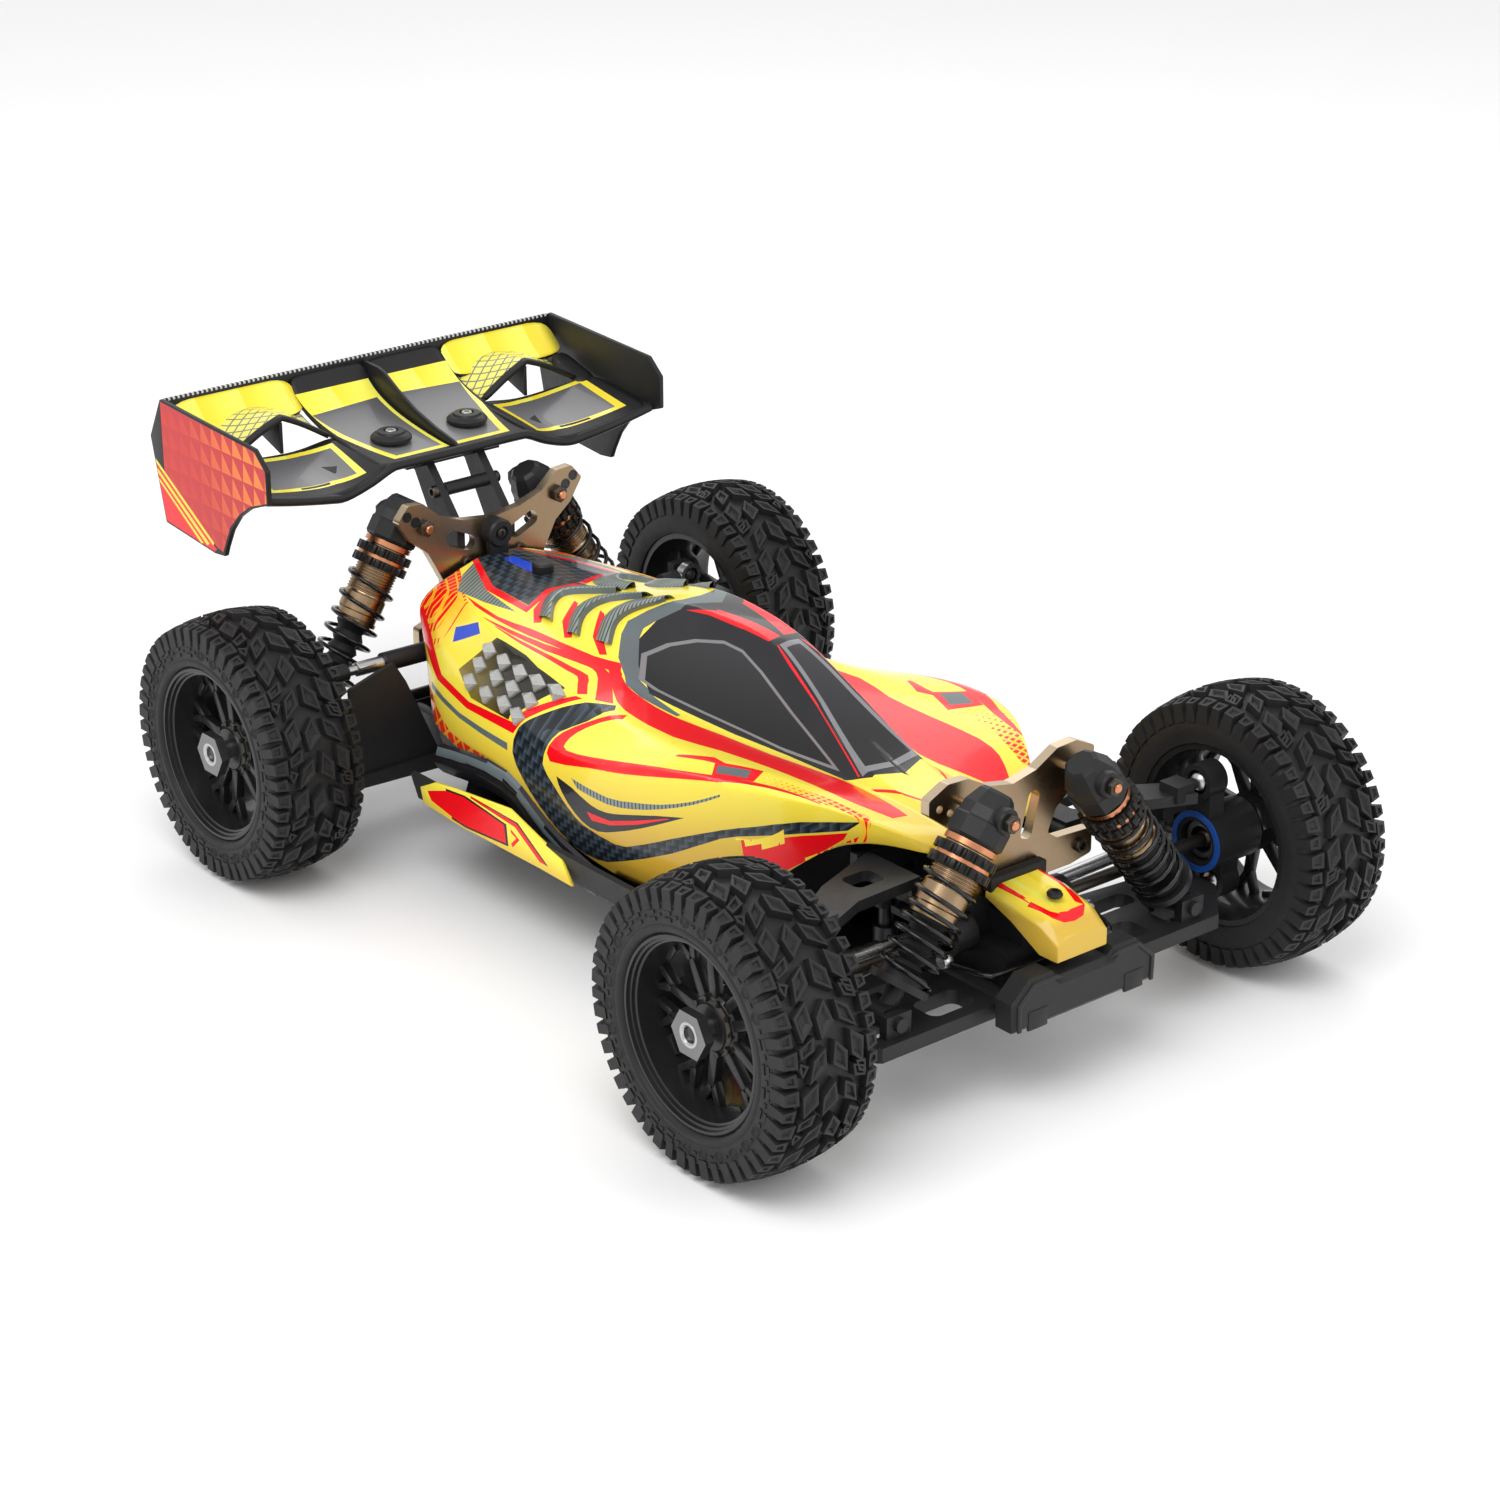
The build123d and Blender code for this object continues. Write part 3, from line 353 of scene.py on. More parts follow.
hatch_paint = lacquer("paint_hatching", 0.3)
ruled = ((hatch_paint.x - hatch_paint.y.size() * 0.35) / 0.0022).fract() > 0.68
hatch_paint.set("Base Color", ruled.blend((0.23, 0.27, 0.25), (0.03, 0.035, 0.035)))
olive_paint = lacquer("paint_olive")
olive_fade = (olive_paint.x * 1000 + olive_paint.z * 1400).ramp(30.0, 92.0)
olive_paint.set("Base Color", olive_fade.blend((0.26, 0.19, 0.03), (0.02, 0.018, 0.012)))
inside_paint = plain("shell_inside", (0.035, 0.035, 0.033), 0.4, grain=0.1)

shell_paints = {
    "yellow": yellow_paint.material, "red": red_paint.material, "tail": tail_paint.material,
    "front": front_paint.material, "net": grid_paint.material, "weave": carbon_paint.material,
    "slate": slate_paint.material, "black": ink_paint.material, "window": window_paint.material,
    "pane_line": pane_line_paint.material, "blue": blue_paint.material,
    "hatch": hatch_paint.material, "olive": olive_paint.material, "inside": inside_paint,
}
for paint in shell_paints.values():
    shell.data.materials.append(paint)


def curve(points, steps):
    """A smooth line through points, with some steps from each to the next."""
    points = [Vector(p) for p in points]
    ends = [points[0] * 2 - points[1]] + points + [points[-1] * 2 - points[-2]]
    line = [points[0]]
    for a, b, c, d in zip(ends, ends[1:], ends[2:], ends[3:]):
        for step in range(1, steps + 1):
            t = step / steps
            line.append(((b * 2) + (c - a) * t + (a * 2 - b * 5 + c * 4 - d) * t * t
                         + (b * 3 - a - c * 3 + d) * t ** 3) * 0.5)
    return line


face_slack = 0.006
thin_edge = 0.0002


def cut_band(shape, surface, index, near, far, steps=1):
    """Cuts a band between two lines, given in mm on the left side, and gives it a material."""
    near, far = curve(near, steps), curve(far, steps)
    for i in range(len(near) - 1):
        corners = [near[i] * MM, near[i + 1] * MM, far[i + 1] * MM, far[i] * MM]
        middle = sum(corners, Vector()) / 4
        reach = max((corner - middle).length for corner in corners) + face_slack
        facing = surface.find_nearest(middle)[1]
        faces = [f for f in shape.faces if (f.calc_center_median() - middle).length < reach
                 and f.normal.dot(facing) > -0.3]
        for start, end in zip(corners, corners[1:] + corners[:1]):
            if (end - start).length < thin_edge or not faces:
                continue
            normal = surface.find_nearest((start + end) / 2)[1]
            side = (end - start).cross(normal).normalized()
            if (middle - start).dot(side) > 0:
                side = -side
            parts = set(faces)
            for face in faces:
                parts.update(face.edges)
                parts.update(face.verts)
            made = bmesh.ops.bisect_plane(shape, geom=list(parts), dist=1e-6,
                                          plane_co=start, plane_no=side)
            faces = [f for f in made["geom"] if isinstance(f, bmesh.types.BMFace)
                     and (f.calc_center_median() - start).dot(side) < 0]
        for face in faces:
            face.material_index = index


def offset_line(points, amount):
    """The same closed outline drawn in towards its middle by a share of its size."""
    middle = sum((Vector(p) for p in points), Vector()) / len(points)
    return [Vector(p) + (middle - Vector(p)) * amount for p in points]


paint_shape = bmesh.new()
paint_shape.from_mesh(shell.data)
whole = list(paint_shape.verts) + list(paint_shape.edges) + list(paint_shape.faces)
bmesh.ops.bisect_plane(paint_shape, geom=whole, dist=1e-6, plane_co=(0, 0, 0), plane_no=(0, -1, 0),
                       clear_outer=True)
skin = BVHTree.FromBMesh(paint_shape)


def band(colour, near, far, steps=1):
    cut_band(paint_shape, skin, list(shell_paints).index(colour), near, far, steps)


# tail corners with dots, the net along the low rear edge and its red line
band("tail", [(-137, 20, 111), (-110, 36, 109), (-82, 42, 109)],
     [(-137, 42, 98), (-112, 52, 88), (-88, 50, 100)])
band("net", [(-132, 44, 97), (-112, 56, 76), (-84, 64, 63), (-49, 70, 64), (-11, 75, 57)],
     [(-137, 42, 90), (-117, 54, 66), (-86, 66, 50), (-46, 72, 52), (-8, 75, 50)], 2)
band("slate", [(-108, 57, 77), (-77, 64, 74), (-34, 71, 76)],
     [(-108, 57, 74.5), (-77, 65, 72), (-33, 71, 73)], 2)
band("red", [(-135, 42, 101), (-119, 49, 94), (-99, 58, 83), (-71, 64, 81), (-34, 69, 85), (-29, 66, 91),
             (-8, 54, 101)],
     [(-136, 43, 98), (-125, 49, 89), (-102, 58, 80), (-72, 65, 78), (-31, 70, 81), (-26, 67, 88),
      (-4, 53, 101)])

# the dark ground under the scales, then the fan of red stripes over the shoulder
band("olive", [(-70, 49, 107), (-45, 52, 107), (-34, 54, 105), (-10, 54, 100)],
     [(-86, 57, 89), (-70, 64, 83), (-37, 69, 85), (-30, 65, 91)])
band("red", [(-113, 34, 109), (-83, 39, 110), (-61, 38, 110), (-41, 37, 110), (-24, 33, 108),
             (-10, 29, 108)],
     [(-101, 38, 109), (-80, 41, 109), (-56, 42, 109), (-37, 40, 109), (-22, 36, 107), (-8, 32, 104)], 2)
band("red", [(-90, 42, 108), (-68, 43, 109), (-45, 42, 109), (-28, 37, 108), (-16, 34, 106), (-8, 36, 103),
             (6, 46, 99)],
     [(-84, 43, 108), (-66, 45, 108), (-41, 45, 108), (-24, 40, 106), (-18, 38, 105), (-12, 40, 103),
      (-1, 50, 100)], 2)
band("red", [(-79, 44, 108), (-58, 46, 108), (-40, 46, 108), (-25, 44, 106), (-16, 42, 104), (-11, 46, 102),
             (-6, 50, 101)],
     [(-75, 45, 108), (-54, 48, 108), (-36, 48, 107), (-24, 47, 105), (-18, 46, 104), (-14, 49, 102),
      (-9, 53, 101)], 2)

# the woven elbow down the side, and its run forward along the low edge
band("weave", [(8, 46, 99), (-3, 54, 99), (-18, 64, 92), (-28, 69, 84), (-29, 72, 74), (-21, 73, 66),
               (-8, 74, 57), (12, 75, 47), (30, 75, 46), (45, 74, 51), (78, 73, 66), (103, 69, 80),
               (118, 65, 85), (136, 57, 90), (152, 47, 94)],
     [(11, 49, 99), (6, 59, 95), (-3, 67, 90), (-4, 72, 85), (-5, 74, 77), (5, 76, 71), (20, 76, 62),
      (29, 76, 60), (39, 76, 59), (51, 75, 60), (79, 73, 73), (104, 69, 84), (118, 65, 89), (136, 57, 95),
      (156, 44, 98)], 2)
band("red", [(112, 66, 82), (136, 57, 89), (152, 47, 93)], [(112, 60, 62), (136, 54, 78), (150, 47, 90)])
band("slate", [(-104, 62, 60), (-69, 67, 58), (-30, 72, 63), (-11, 74, 54), (12, 75, 44)],
     [(-104, 62, 56), (-69, 68, 55), (-31, 73, 60), (-13, 75, 51), (10, 75, 42)])

# the red sweep round the hooks, and the dots ahead of it
band("front", [(70, 62, 102), (100, 52, 103), (130, 48, 102), (156, 40, 98)],
     [(70, 72, 100), (100, 67, 105), (130, 58, 105), (160, 42, 98)])
band("red", [(18, 48, 99), (8, 58, 96), (-1, 66, 90), (-3, 72, 86), (0, 75, 80), (28, 77, 87), (54, 78, 93),
             (83, 75, 100), (104, 69, 104), (120, 61, 105), (142, 53, 103)],
     [(20, 52, 99), (12, 58, 96), (6, 65, 92), (5, 70, 89), (9, 73, 88), (27, 74, 91), (48, 74, 96),
      (79, 71, 101), (100, 65, 104), (121, 57, 104), (143, 52, 103)], 2)
band("red", [(66, 60, 101), (80, 53, 102), (92, 55, 103)], [(66, 62, 101), (80, 58, 102), (92, 56, 103)])

# the air intake with its red line, and the ruled mark above it
band("black", [(6, 77, 76), (18, 78, 75), (31, 78, 72), (41, 78, 72), (53, 78, 75), (70, 77, 80),
               (86, 74, 84)],
     [(8, 77, 73), (15, 77, 67), (24, 77, 62), (34, 77, 61), (46, 77, 65), (62, 76, 72), (84, 74, 83)], 2)
band("red", [(28, 77, 68), (43, 77, 69), (58, 77, 74), (77, 75, 81)],
     [(31, 77, 65), (43, 77, 67), (60, 76, 73), (78, 75, 81)])
band("hatch", [(17, 78, 79), (42, 78, 79), (58, 78, 82), (74, 77, 86), (90, 74, 92), (104, 71, 99)],
     [(22, 78, 76), (42, 78, 76), (58, 78, 79), (74, 77, 84), (91, 74, 91), (104, 71, 98)], 2)

# the rear deck: weave, blue stripe, red border and the fan of grey rays beside it
band("hatch", [(-135, 14, 113), (-108, 27, 112), (-78, 33, 112)],
     [(-131, 23, 111), (-121, 33, 109), (-100, 34, 110)])
band("weave", [(-138, 0, 115), (-110, 0, 115), (-75, 0, 117)],
     [(-138, 10, 114), (-108, 23, 112), (-76, 27, 113)])
band("yellow", [(-75, 0, 117), (-75, 12, 117)], [(-60, 0, 119), (-60, 18, 118)])
band("blue", [(-128, 0, 115), (-101, 0, 115)], [(-128, 3, 115), (-101, 4, 115)])
band("red", [(-138, 10, 114), (-108, 23, 112), (-77, 27, 113), (-82, 13, 116), (-78, 0, 117)],
     [(-138, 13, 114), (-108, 27, 112), (-73, 31, 112), (-77, 13, 117), (-73, 0, 117)])

# louvre grounds behind the cabin
for rear in (-66, -45, -24):
    band("red", [(rear - 12, 17, 118), (rear - 6, 28, 113), (rear + 3, 35, 112)],
         [(rear - 8, 18, 118), (rear + 1, 28, 113), (rear + 6, 33, 112)])

# the dark cabin with its grey hoop, windows and windscreen
band("red", [(-12, 30, 108), (-2, 33, 102), (9, 34, 100), (31, 34, 99), (57, 30, 98), (84, 27, 97),
             (118, 20, 96), (140, 20, 97), (158, 22, 95)],
     [(-14, 33, 105), (0, 41, 101), (14, 46, 99), (49, 49, 100), (73, 44, 100), (102, 41, 102),
      (131, 40, 101), (146, 37, 100), (159, 30, 98)], 2)
band("slate", [(6, 0, 137), (4, 8, 136), (1, 12, 134), (-9, 17, 129), (-17, 21, 123), (-17, 24, 118),
               (-13, 28, 109), (-3, 33, 103), (9, 34, 100), (31, 33, 99)],
     [(22, 0, 137), (17, 9, 136), (9, 13, 132), (-2, 17, 126), (-7, 20, 122), (-7, 22, 118), (-2, 26, 110),
      (2, 29, 104), (12, 30, 101), (31, 31, 99)])
band("black", [(-7, 22, 118), (-2, 27, 109), (9, 30, 101), (32, 28, 99), (59, 26, 98), (85, 22, 96),
               (117, 19, 95), (127, 12, 97), (132, 0, 98)],
     [(-2, 17, 126), (9, 12, 133), (20, 0, 137), (34, 0, 137), (60, 0, 135), (86, 0, 121), (111, 0, 107),
      (124, 0, 100), (131, 0, 98)])
side_pane = [(1, 29, 103), (-3, 24, 113), (8, 20, 120), (22, 16, 125), (37, 13, 128), (48, 12, 127),
             (61, 13, 122), (83, 15, 111), (113, 17, 97), (84, 22, 98), (58, 25, 100), (31, 27, 101)]
for colour, inset in (("pane_line", 0.0), ("window", 0.07)):
    pane = offset_line(side_pane, inset)
    band(colour, [pane[1], pane[2], pane[3], pane[4], pane[5], pane[6], pane[7], pane[8]],
         [pane[1].lerp(pane[0], 0.9), pane[0].lerp(pane[11], 0.3), pane[11].lerp(pane[0], 0.35),
          pane[11].lerp(pane[10], 0.3), pane[10].lerp(pane[11], 0.3), pane[10].lerp(pane[9], 0.35), pane[9],
          pane[8]])
band("red", [(12, 11, 133), (25, 11, 135), (44, 9, 134), (58, 7, 132)],
     [(8, 12, 132), (25, 6, 136), (44, 3, 136), (58, 1, 135)])
band("pane_line", [(62, 0, 134), (92, 0, 118), (127, 0, 99)], [(62, 5, 132), (92, 9, 116), (124, 15, 98)])
band("window", [(65, 0, 133), (92, 0, 118), (124, 0, 100)], [(65, 3.5, 132), (92, 7, 116), (121, 12, 98)])
band("red", [(62, 5.8, 132), (92, 10, 116), (123, 15.8, 98)],
     [(62, 6.5, 132), (92, 10.8, 116), (122, 16.6, 98)])

# bonnet: a red chevron, and a plain red block on the shoulder beside it
band("red", [(131, 17, 96), (140, 12, 97), (162, 5, 95)], [(134, 17, 96), (144, 12, 97), (168, 5, 94)])
band("red", [(166, 0, 94), (174, 8, 93)], [(171, 0, 93), (178, 7, 93)])
band("red", [(84, 56, 103), (95, 67, 106)], [(104, 48, 103), (112, 60, 106)])
band("slate", [(88, 58, 104), (94, 64, 105)], [(101, 52, 104), (107, 59, 106)])
band("blue", [(-104, 47, 101), (-90, 45, 107)], [(-100, 51, 96), (-84, 48, 104)])

paint_shape.to_mesh(shell.data)
paint_shape.free()
deselect()
bpy.context.view_layer.objects.active = shell
shell.select_set(True)
change(shell, "MIRROR", use_axis=(False, True, False), use_clip=True, merge_threshold=0.00005)
bpy.ops.object.shade_smooth()
change(shell, "SOLIDIFY", thickness=0.0012, offset=-1.0, material_offset=20, material_offset_rim=20)
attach(shell, "root")
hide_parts("body_shell")


# ---------------------------------------------------------------- tyres
# Soft all-terrain rubber over foam: a round carcass, kite-shaped lugs with sunk faces between
# smooth hollows, square shoulder blocks, and a moulded chain pattern round the outer wall.
def pick(obj):
    deselect()
    bpy.context.view_layer.objects.active = obj
    obj.select_set(True)


def points_object(name, points, closed):
    """An object of one line of points in mm, joined back to its start if it is closed."""
    mesh = bpy.data.meshes.new(name)
    obj = bpy.data.objects.new(name, mesh)
    bpy.context.scene.collection.objects.link(obj)
    count = len(points)
    edges = [(i, (i + 1) % count) for i in range(count if closed else count - 1)]
    mesh.from_pydata([Vector(p) * MM for p in points], edges, [])
    return obj


def tidy_normals():
    bpy.ops.mesh.select_all(action="SELECT")
    bpy.ops.mesh.remove_doubles(threshold=0.000002)
    bpy.ops.mesh.normals_make_consistent(inside=False)


def turned(name, profile, steps=56, angle=35, closed=True):
    """A turned piece about the Y axis from (radius, place along Y) points."""
    obj = points_object(name, [(radius, y, 0) for radius, y in profile], closed)
    pick(obj)
    bpy.ops.object.mode_set(mode="EDIT")
    bpy.ops.mesh.select_all(action="SELECT")
    bpy.ops.mesh.spin(steps=steps, angle=2 * math.pi, center=(0, 0, 0), axis=(0, 1, 0))
    tidy_normals()
    bpy.ops.object.mode_set(mode="OBJECT")
    bpy.ops.object.shade_smooth_by_angle(angle=math.radians(angle))
    return obj


def plate(name, outline, axis, low, high, bevel=0.0, angle=35):
    """A flat piece: an outline in mm across one axis, extruded along it, with eased edges."""
    def spot(a, b):
        return {"x": (low, a, b), "y": (a, low, b), "z": (a, b, low)}[axis]

    obj = points_object(name, [spot(a, b) for a, b in outline], True)
    pick(obj)
    bpy.ops.object.mode_set(mode="EDIT")
    bpy.ops.mesh.select_all(action="SELECT")
    bpy.ops.mesh.edge_face_add()
    push = Vector([(high - low) * MM if axis == one else 0 for one in "xyz"])
    bpy.ops.mesh.extrude_region_move(TRANSFORM_OT_translate={"value": push})
    tidy_normals()
    bpy.ops.object.mode_set(mode="OBJECT")
    if bevel:
        change(obj, "BEVEL", width=bevel * MM, segments=2, angle_limit=math.radians(40))
    pick(obj)
    bpy.ops.object.shade_smooth_by_angle(angle=math.radians(angle))
    return obj


def move_mesh(obj, matrix):
    obj.data.transform(matrix)
    if matrix.determinant() < 0:
        obj.data.flip_normals()
    return obj


def copy_of(obj, name, matrix):
    twin = obj.copy()
    twin.data = obj.data.copy()
    twin.name = twin.data.name = name
    bpy.context.scene.collection.objects.link(twin)
    return move_mesh(twin, matrix)


def joined(name, objects):
    deselect()
    for obj in objects:
        obj.select_set(True)
    bpy.context.view_layer.objects.active = objects[0]
    bpy.ops.object.join()
    return active(name)


def coat(obj, *materials):
    obj.data.materials.clear()
    for material in materials:
        obj.data.materials.append(material)
    return obj


tyre_radius, groove_depth = 57.9, 3.4


def crown(v):
    return tyre_radius - 0.0065 * v * v


def on_tread(u, v, height=0.0):
    """A point on the tread: u mm round from the top, v mm outwards from the middle."""
    turn = u / tyre_radius
    radius = crown(v) + height
    return Vector((radius * math.sin(turn), v, radius * math.cos(turn))) * MM


def lug(shape, outline, shift, inset=1.1, sink=1.3, foot=None):
    """One tread block: sloping sides up to a top whose middle is sunk."""
    outline = [(u + shift, v) for u, v in outline]
    centre_u = sum(u for u, v in outline) / len(outline)
    centre_v = sum(v for u, v in outline) / len(outline)
    low, rim, well = [], [], []
    for u, v in outline:
        out_u, out_v = u - centre_u, v - centre_v
        far = math.hypot(out_u, out_v)
        grown = 1 + 0.55 / far
        shrunk = 1 - inset / far
        low.append(shape.verts.new(on_tread(centre_u + out_u * grown, centre_v + out_v * grown,
                                            foot(v) if foot else -groove_depth)))
        rim.append(shape.verts.new(on_tread(u, v)))
        well.append(shape.verts.new(on_tread(centre_u + out_u * shrunk * 0.9,
                                             centre_v + out_v * shrunk * 0.9, -0.1)))
    floor_verts = [shape.verts.new(on_tread(centre_u + (u - centre_u) * 0.42,
                                            centre_v + (v - centre_v) * 0.42, -sink))
                   for u, v in outline]
    count = len(outline)
    for i in range(count):
        j = (i + 1) % count
        for a, b in ((low, rim), (rim, well), (well, floor_verts)):
            shape.faces.new((a[i], a[j], b[j], b[i]))
    shape.faces.new(floor_verts)


tread_unit = (
    ((1, 0.5), (6.5, 5.5), (14.5, 5.0), (9.5, -1.5)),
    ((16.2, -0.5), (21.7, -5.5), (29.5, -5.0), (24.7, 1.5)),
    ((2.5, -4), (9.5, -4.2), (14.5, -11.5), (6, -9.5)),
    ((17.7, 4), (24.7, 4.2), (29.7, 11.5), (21.2, 9.5)),
    ((-0.5, 8), (8.5, 7.5), (13.5, 13.0), (4, 14.2)),
    ((14.7, -8), (23.7, -7.5), (28.7, -13.0), (19.2, -14.2)),
    ((12.5, 8), (17.5, 8.8), (19.5, 14.4), (15.5, 14.6)),
    ((27.7, -8), (32.7, -8.8), (34.7, -14.4), (30.7, -14.6)),
    ((-3.5, -9.5), (1.2, -10.8), (3.2, -14.8), (-2.2, -14.4)),
    ((26.5, 14.3), (22.5, 11.6), (20.5, 14.9), (23.5, 15.4)),
)
shoulder_unit = (
    ((0.6, 15.9), (7.0, 15.5), (6.2, 21.3), (1.2, 21.3)),
    ((8.8, 16.4), (14.0, 16.8), (13.4, 21.3), (9.4, 21.3)),
    ((15.8, 15.5), (22.4, 15.9), (21.6, 21.3), (16.6, 21.3)),
    ((24.0, 16.8), (29.2, 16.4), (28.6, 21.3), (24.6, 21.3)),
)
units = 12
unit_length = 2 * math.pi * tyre_radius / units


def shoulder_foot(v):
    return -groove_depth if abs(v) < 18 else -7.5


lugs = bmesh.new()
for number in range(units):
    for block in tread_unit:
        lug(lugs, block, number * unit_length)
    for block in shoulder_unit:
        lug(lugs, block, number * unit_length, 1.3, 0.9, shoulder_foot)
        lug(lugs, [(u + 3.4, -v) for u, v in reversed(block)], number * unit_length, 1.3, 0.9,
            shoulder_foot)
bmesh.ops.recalc_face_normals(lugs, faces=lugs.faces)
lug_mesh = bpy.data.meshes.new("tread_lugs")
lugs.to_mesh(lug_mesh)
lugs.free()
tread = bpy.data.objects.new("tread_lugs", lug_mesh)
bpy.context.scene.collection.objects.link(tread)

side_wall = [(38.3, -20.5), (40, -21.4), (45, -21.6), (49.5, -20.6), (51.5, -19.6)]
profile = ([(37.9, -18.0)] + side_wall
           + [(crown(v) - groove_depth, v) for v in (-17.5, -13, -8, -3, 3, 8, 13, 17.5)]
           + [(51.5, 19.6), (50, 20.8), (49.4, 21.3), (48.6, 21.0), (47.6, 21.3), (42.4, 21.3),
              (41.6, 21.0), (41.0, 21.4), (39.2, 21.2), (38.3, 20.4), (37.9, 18.0), (36.4, 17.0),
              (36.4, -17.0)])
carcass = turned("carcass", profile, 72, 50)
links = []
for number in range(30):
    turn = Matrix.Rotation(math.radians(12 * number), 4, "Y")
    if number % 10 < 6:
        deselect()
        bpy.ops.mesh.primitive_torus_add(major_segments=10, minor_segments=4, major_radius=1.9 * MM,
                                         minor_radius=0.55 * MM, rotation=(math.pi / 2, 0, 0),
                                         location=(0, 21.3 * MM, 45 * MM))
        ring = active("ring")
        bpy.ops.object.transform_apply()
        links.append(move_mesh(ring, turn))
    else:
        for low, high in ((42.9, 44.4), (45.6, 47.1)):
            dash = plate("dash", [(-2.0, low), (2.0, low), (2.0, high), (-2.0, high)], "y", 21.0, 21.75)
            links.append(move_mesh(dash, turn))
    stud = plate("stud", [(3.8, 44.4), (5.6, 44.4), (5.6, 45.6), (3.8, 45.6)], "y", 21.0, 21.7)
    links.append(move_mesh(stud, turn))
tyre = joined("tyre", [carcass, tread] + links)
rubber = Finish("tyre_rubber", 0.62)
dust = rubber.noise(300, 6)
rubber.set("Base Color", rubber.noise(40).blend((0.010, 0.010, 0.011), (0.021, 0.021, 0.022)))
rubber.set("Roughness", dust * 0.25 + 0.40)
rubber.bump(rubber.noise(1800, 4), 0.16, 0.0003)
coat(tyre, rubber.material)


# ---------------------------------------------------------------- wheel rims
# Moulded black nylon dish rims: a stepped outer lip, a deep barrel and ten forked flat spokes
# from a small bolted hub, held on a 17 mm hexagon by a serrated alloy nut.
def spoke(start, end, wide_start, wide_end, low, high):
    """A flat bar between two (radius, degrees) points in the face of the rim."""
    (r0, a0), (r1, a1) = start, end
    p = Vector((r0 * math.sin(math.radians(a0)), r0 * math.cos(math.radians(a0))))
    q = Vector((r1 * math.sin(math.radians(a1)), r1 * math.cos(math.radians(a1))))
    across = Vector((-(q - p).y, (q - p).x)).normalized()
    outline = [p + across * wide_start / 2, q + across * wide_end / 2,
               q - across * wide_end / 2, p - across * wide_start / 2]
    return plate("spoke", [tuple(point) for point in outline], "y", low, high, 0.45)


rim_parts = [turned("barrel", [(38.0, 19.4), (37.3, 20.0), (36.2, 20.0), (35.9, 18.6), (35.0, 18.4),
                               (34.7, 17.0),
                               (33.9, 16.6), (33.6, 12.0), (32.9, 9.0), (32.4, -2.0), (33.2, -12.0),
                               (35.6, -19.6),
                               (38.0, -19.6), (38.0, -16.0), (36.6, -15.0), (36.2, -10.0), (35.6, 0),
                               (36.6, 10.0),
                               (36.6, 15.0), (38.0, 16.0)], 72, 30),
             turned("hub", [(3.1, 4.0), (12.4, 4.0), (12.4, 7.4), (11.4, 8.6), (9.6, 8.8), (8.8, 10.4),
                            (6.8, 10.6), (3.1, 10.6)], 40)]
for number in range(10):
    angle = number * 36
    lean = 5 if number % 2 else -5
    rim_parts.append(spoke((9.5, angle), (25.5, angle + lean), 4.6, 3.6, 4.4, 8.4))
    rim_parts.append(spoke((24.0, angle + lean * 0.9), (34.0, angle + lean + 8), 3.6, 2.8, 4.6, 8.0))
    rim_parts.append(spoke((24.0, angle + lean * 0.9), (34.0, angle + lean - 8), 3.6, 2.8, 4.6, 8.0))
    if number % 2:
        rim_parts.append(spoke((30.5, angle - 18), (34.2, angle - 18), 7.5, 9.5, 5.2, 7.4))
    bolt = plate("bolt", [(1.25 * math.sin(k * math.pi / 3),
                           1.25 * math.cos(k * math.pi / 3)) for k in range(6)],
                 "y", 8.0, 9.9, 0.2)
    rim_parts.append(move_mesh(bolt, Matrix.Rotation(math.radians(angle + 18), 4,
                                                     "Y") @ Matrix.Translation((0, 0, 10.6 * MM))))
rim = joined("rim", rim_parts)
coat(rim, plain("rim_nylon", (0.013, 0.013, 0.014), 0.34, coat=0.25, grain=0.05, scale=1400))
wheel_middles = {"front_left": (189, 134.2, 58), "front_right": (189, -134.2, 58),
                 "rear_left": (-139, 130, 58), "rear_right": (-139, -130, 58)}
for corner, (x, y, z) in wheel_middles.items():
    side = 1 if y > 0 else -1
    seat = Matrix.Translation(Vector((x, y, z)) * MM) @ Matrix.Diagonal((1, side, 1, 1))
    for piece, node, slot in ((tyre, "tyre", "tyre_rubber"), (rim, "rim", "rim_plastic")):
        made = copy_of(piece, f"{corner}_{node}_skin", seat)
        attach(made, f"{corner}_wheel")
        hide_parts(f"{corner}_{node}")
bpy.data.objects.remove(tyre)
bpy.data.objects.remove(rim)


# ---------------------------------------------------------------- rear wing
# Moulded nylon wing in one piece: a dished deck with a centre fin, an arch and an open window on
# each side, a thick rolled front lip and a gurney strip, with printed film on its upper faces.
nylon = plain("black_nylon", (0.014, 0.014, 0.015), 0.42, grain=0.12, scale=1500)
wing_grey = Finish("wing_grey", 0.34, 0.0, 0.2)
grey_fade = (wing_grey.x * -1000 + wing_grey.y.size() * 150).ramp(150.0, 232.0)
wing_grey.set("Base Color", grey_fade.blend((0.21, 0.21, 0.215), (0.085, 0.085, 0.09)))
wing_grey.set("Roughness", wing_grey.noise(50) * 0.12 + 0.24)
wing_yellow = lacquer("wing_yellow")
wing_yellow.set("Base Color", (wing_yellow.y * 45).fract().size().ramp(0.0, 1.0).blend((0.95, 0.72, 0.03),
                                                                                       (0.93, 0.88, 0.12)))
net_yellow = lacquer("wing_net")
mesh_lines = dots(net_yellow.x, net_yellow.y, 0.0052, 0.6) < 0.09
net_yellow.set("Base Color", mesh_lines.blend((0.88, 0.80, 0.14), (0.20, 0.22, 0.17)))
scale_red = lacquer("wing_red_scales")
across = (scale_red.x + scale_red.z * 0.35) / 0.0085
step = scale_red.z / 0.0095
row = (step.math("FLOOR", step) * 0.5).fract()
inner = (across + row).fract() - 0.5
rise = step.fract()
scale_tip = (inner.size() * 2.0 + rise) < 0.92
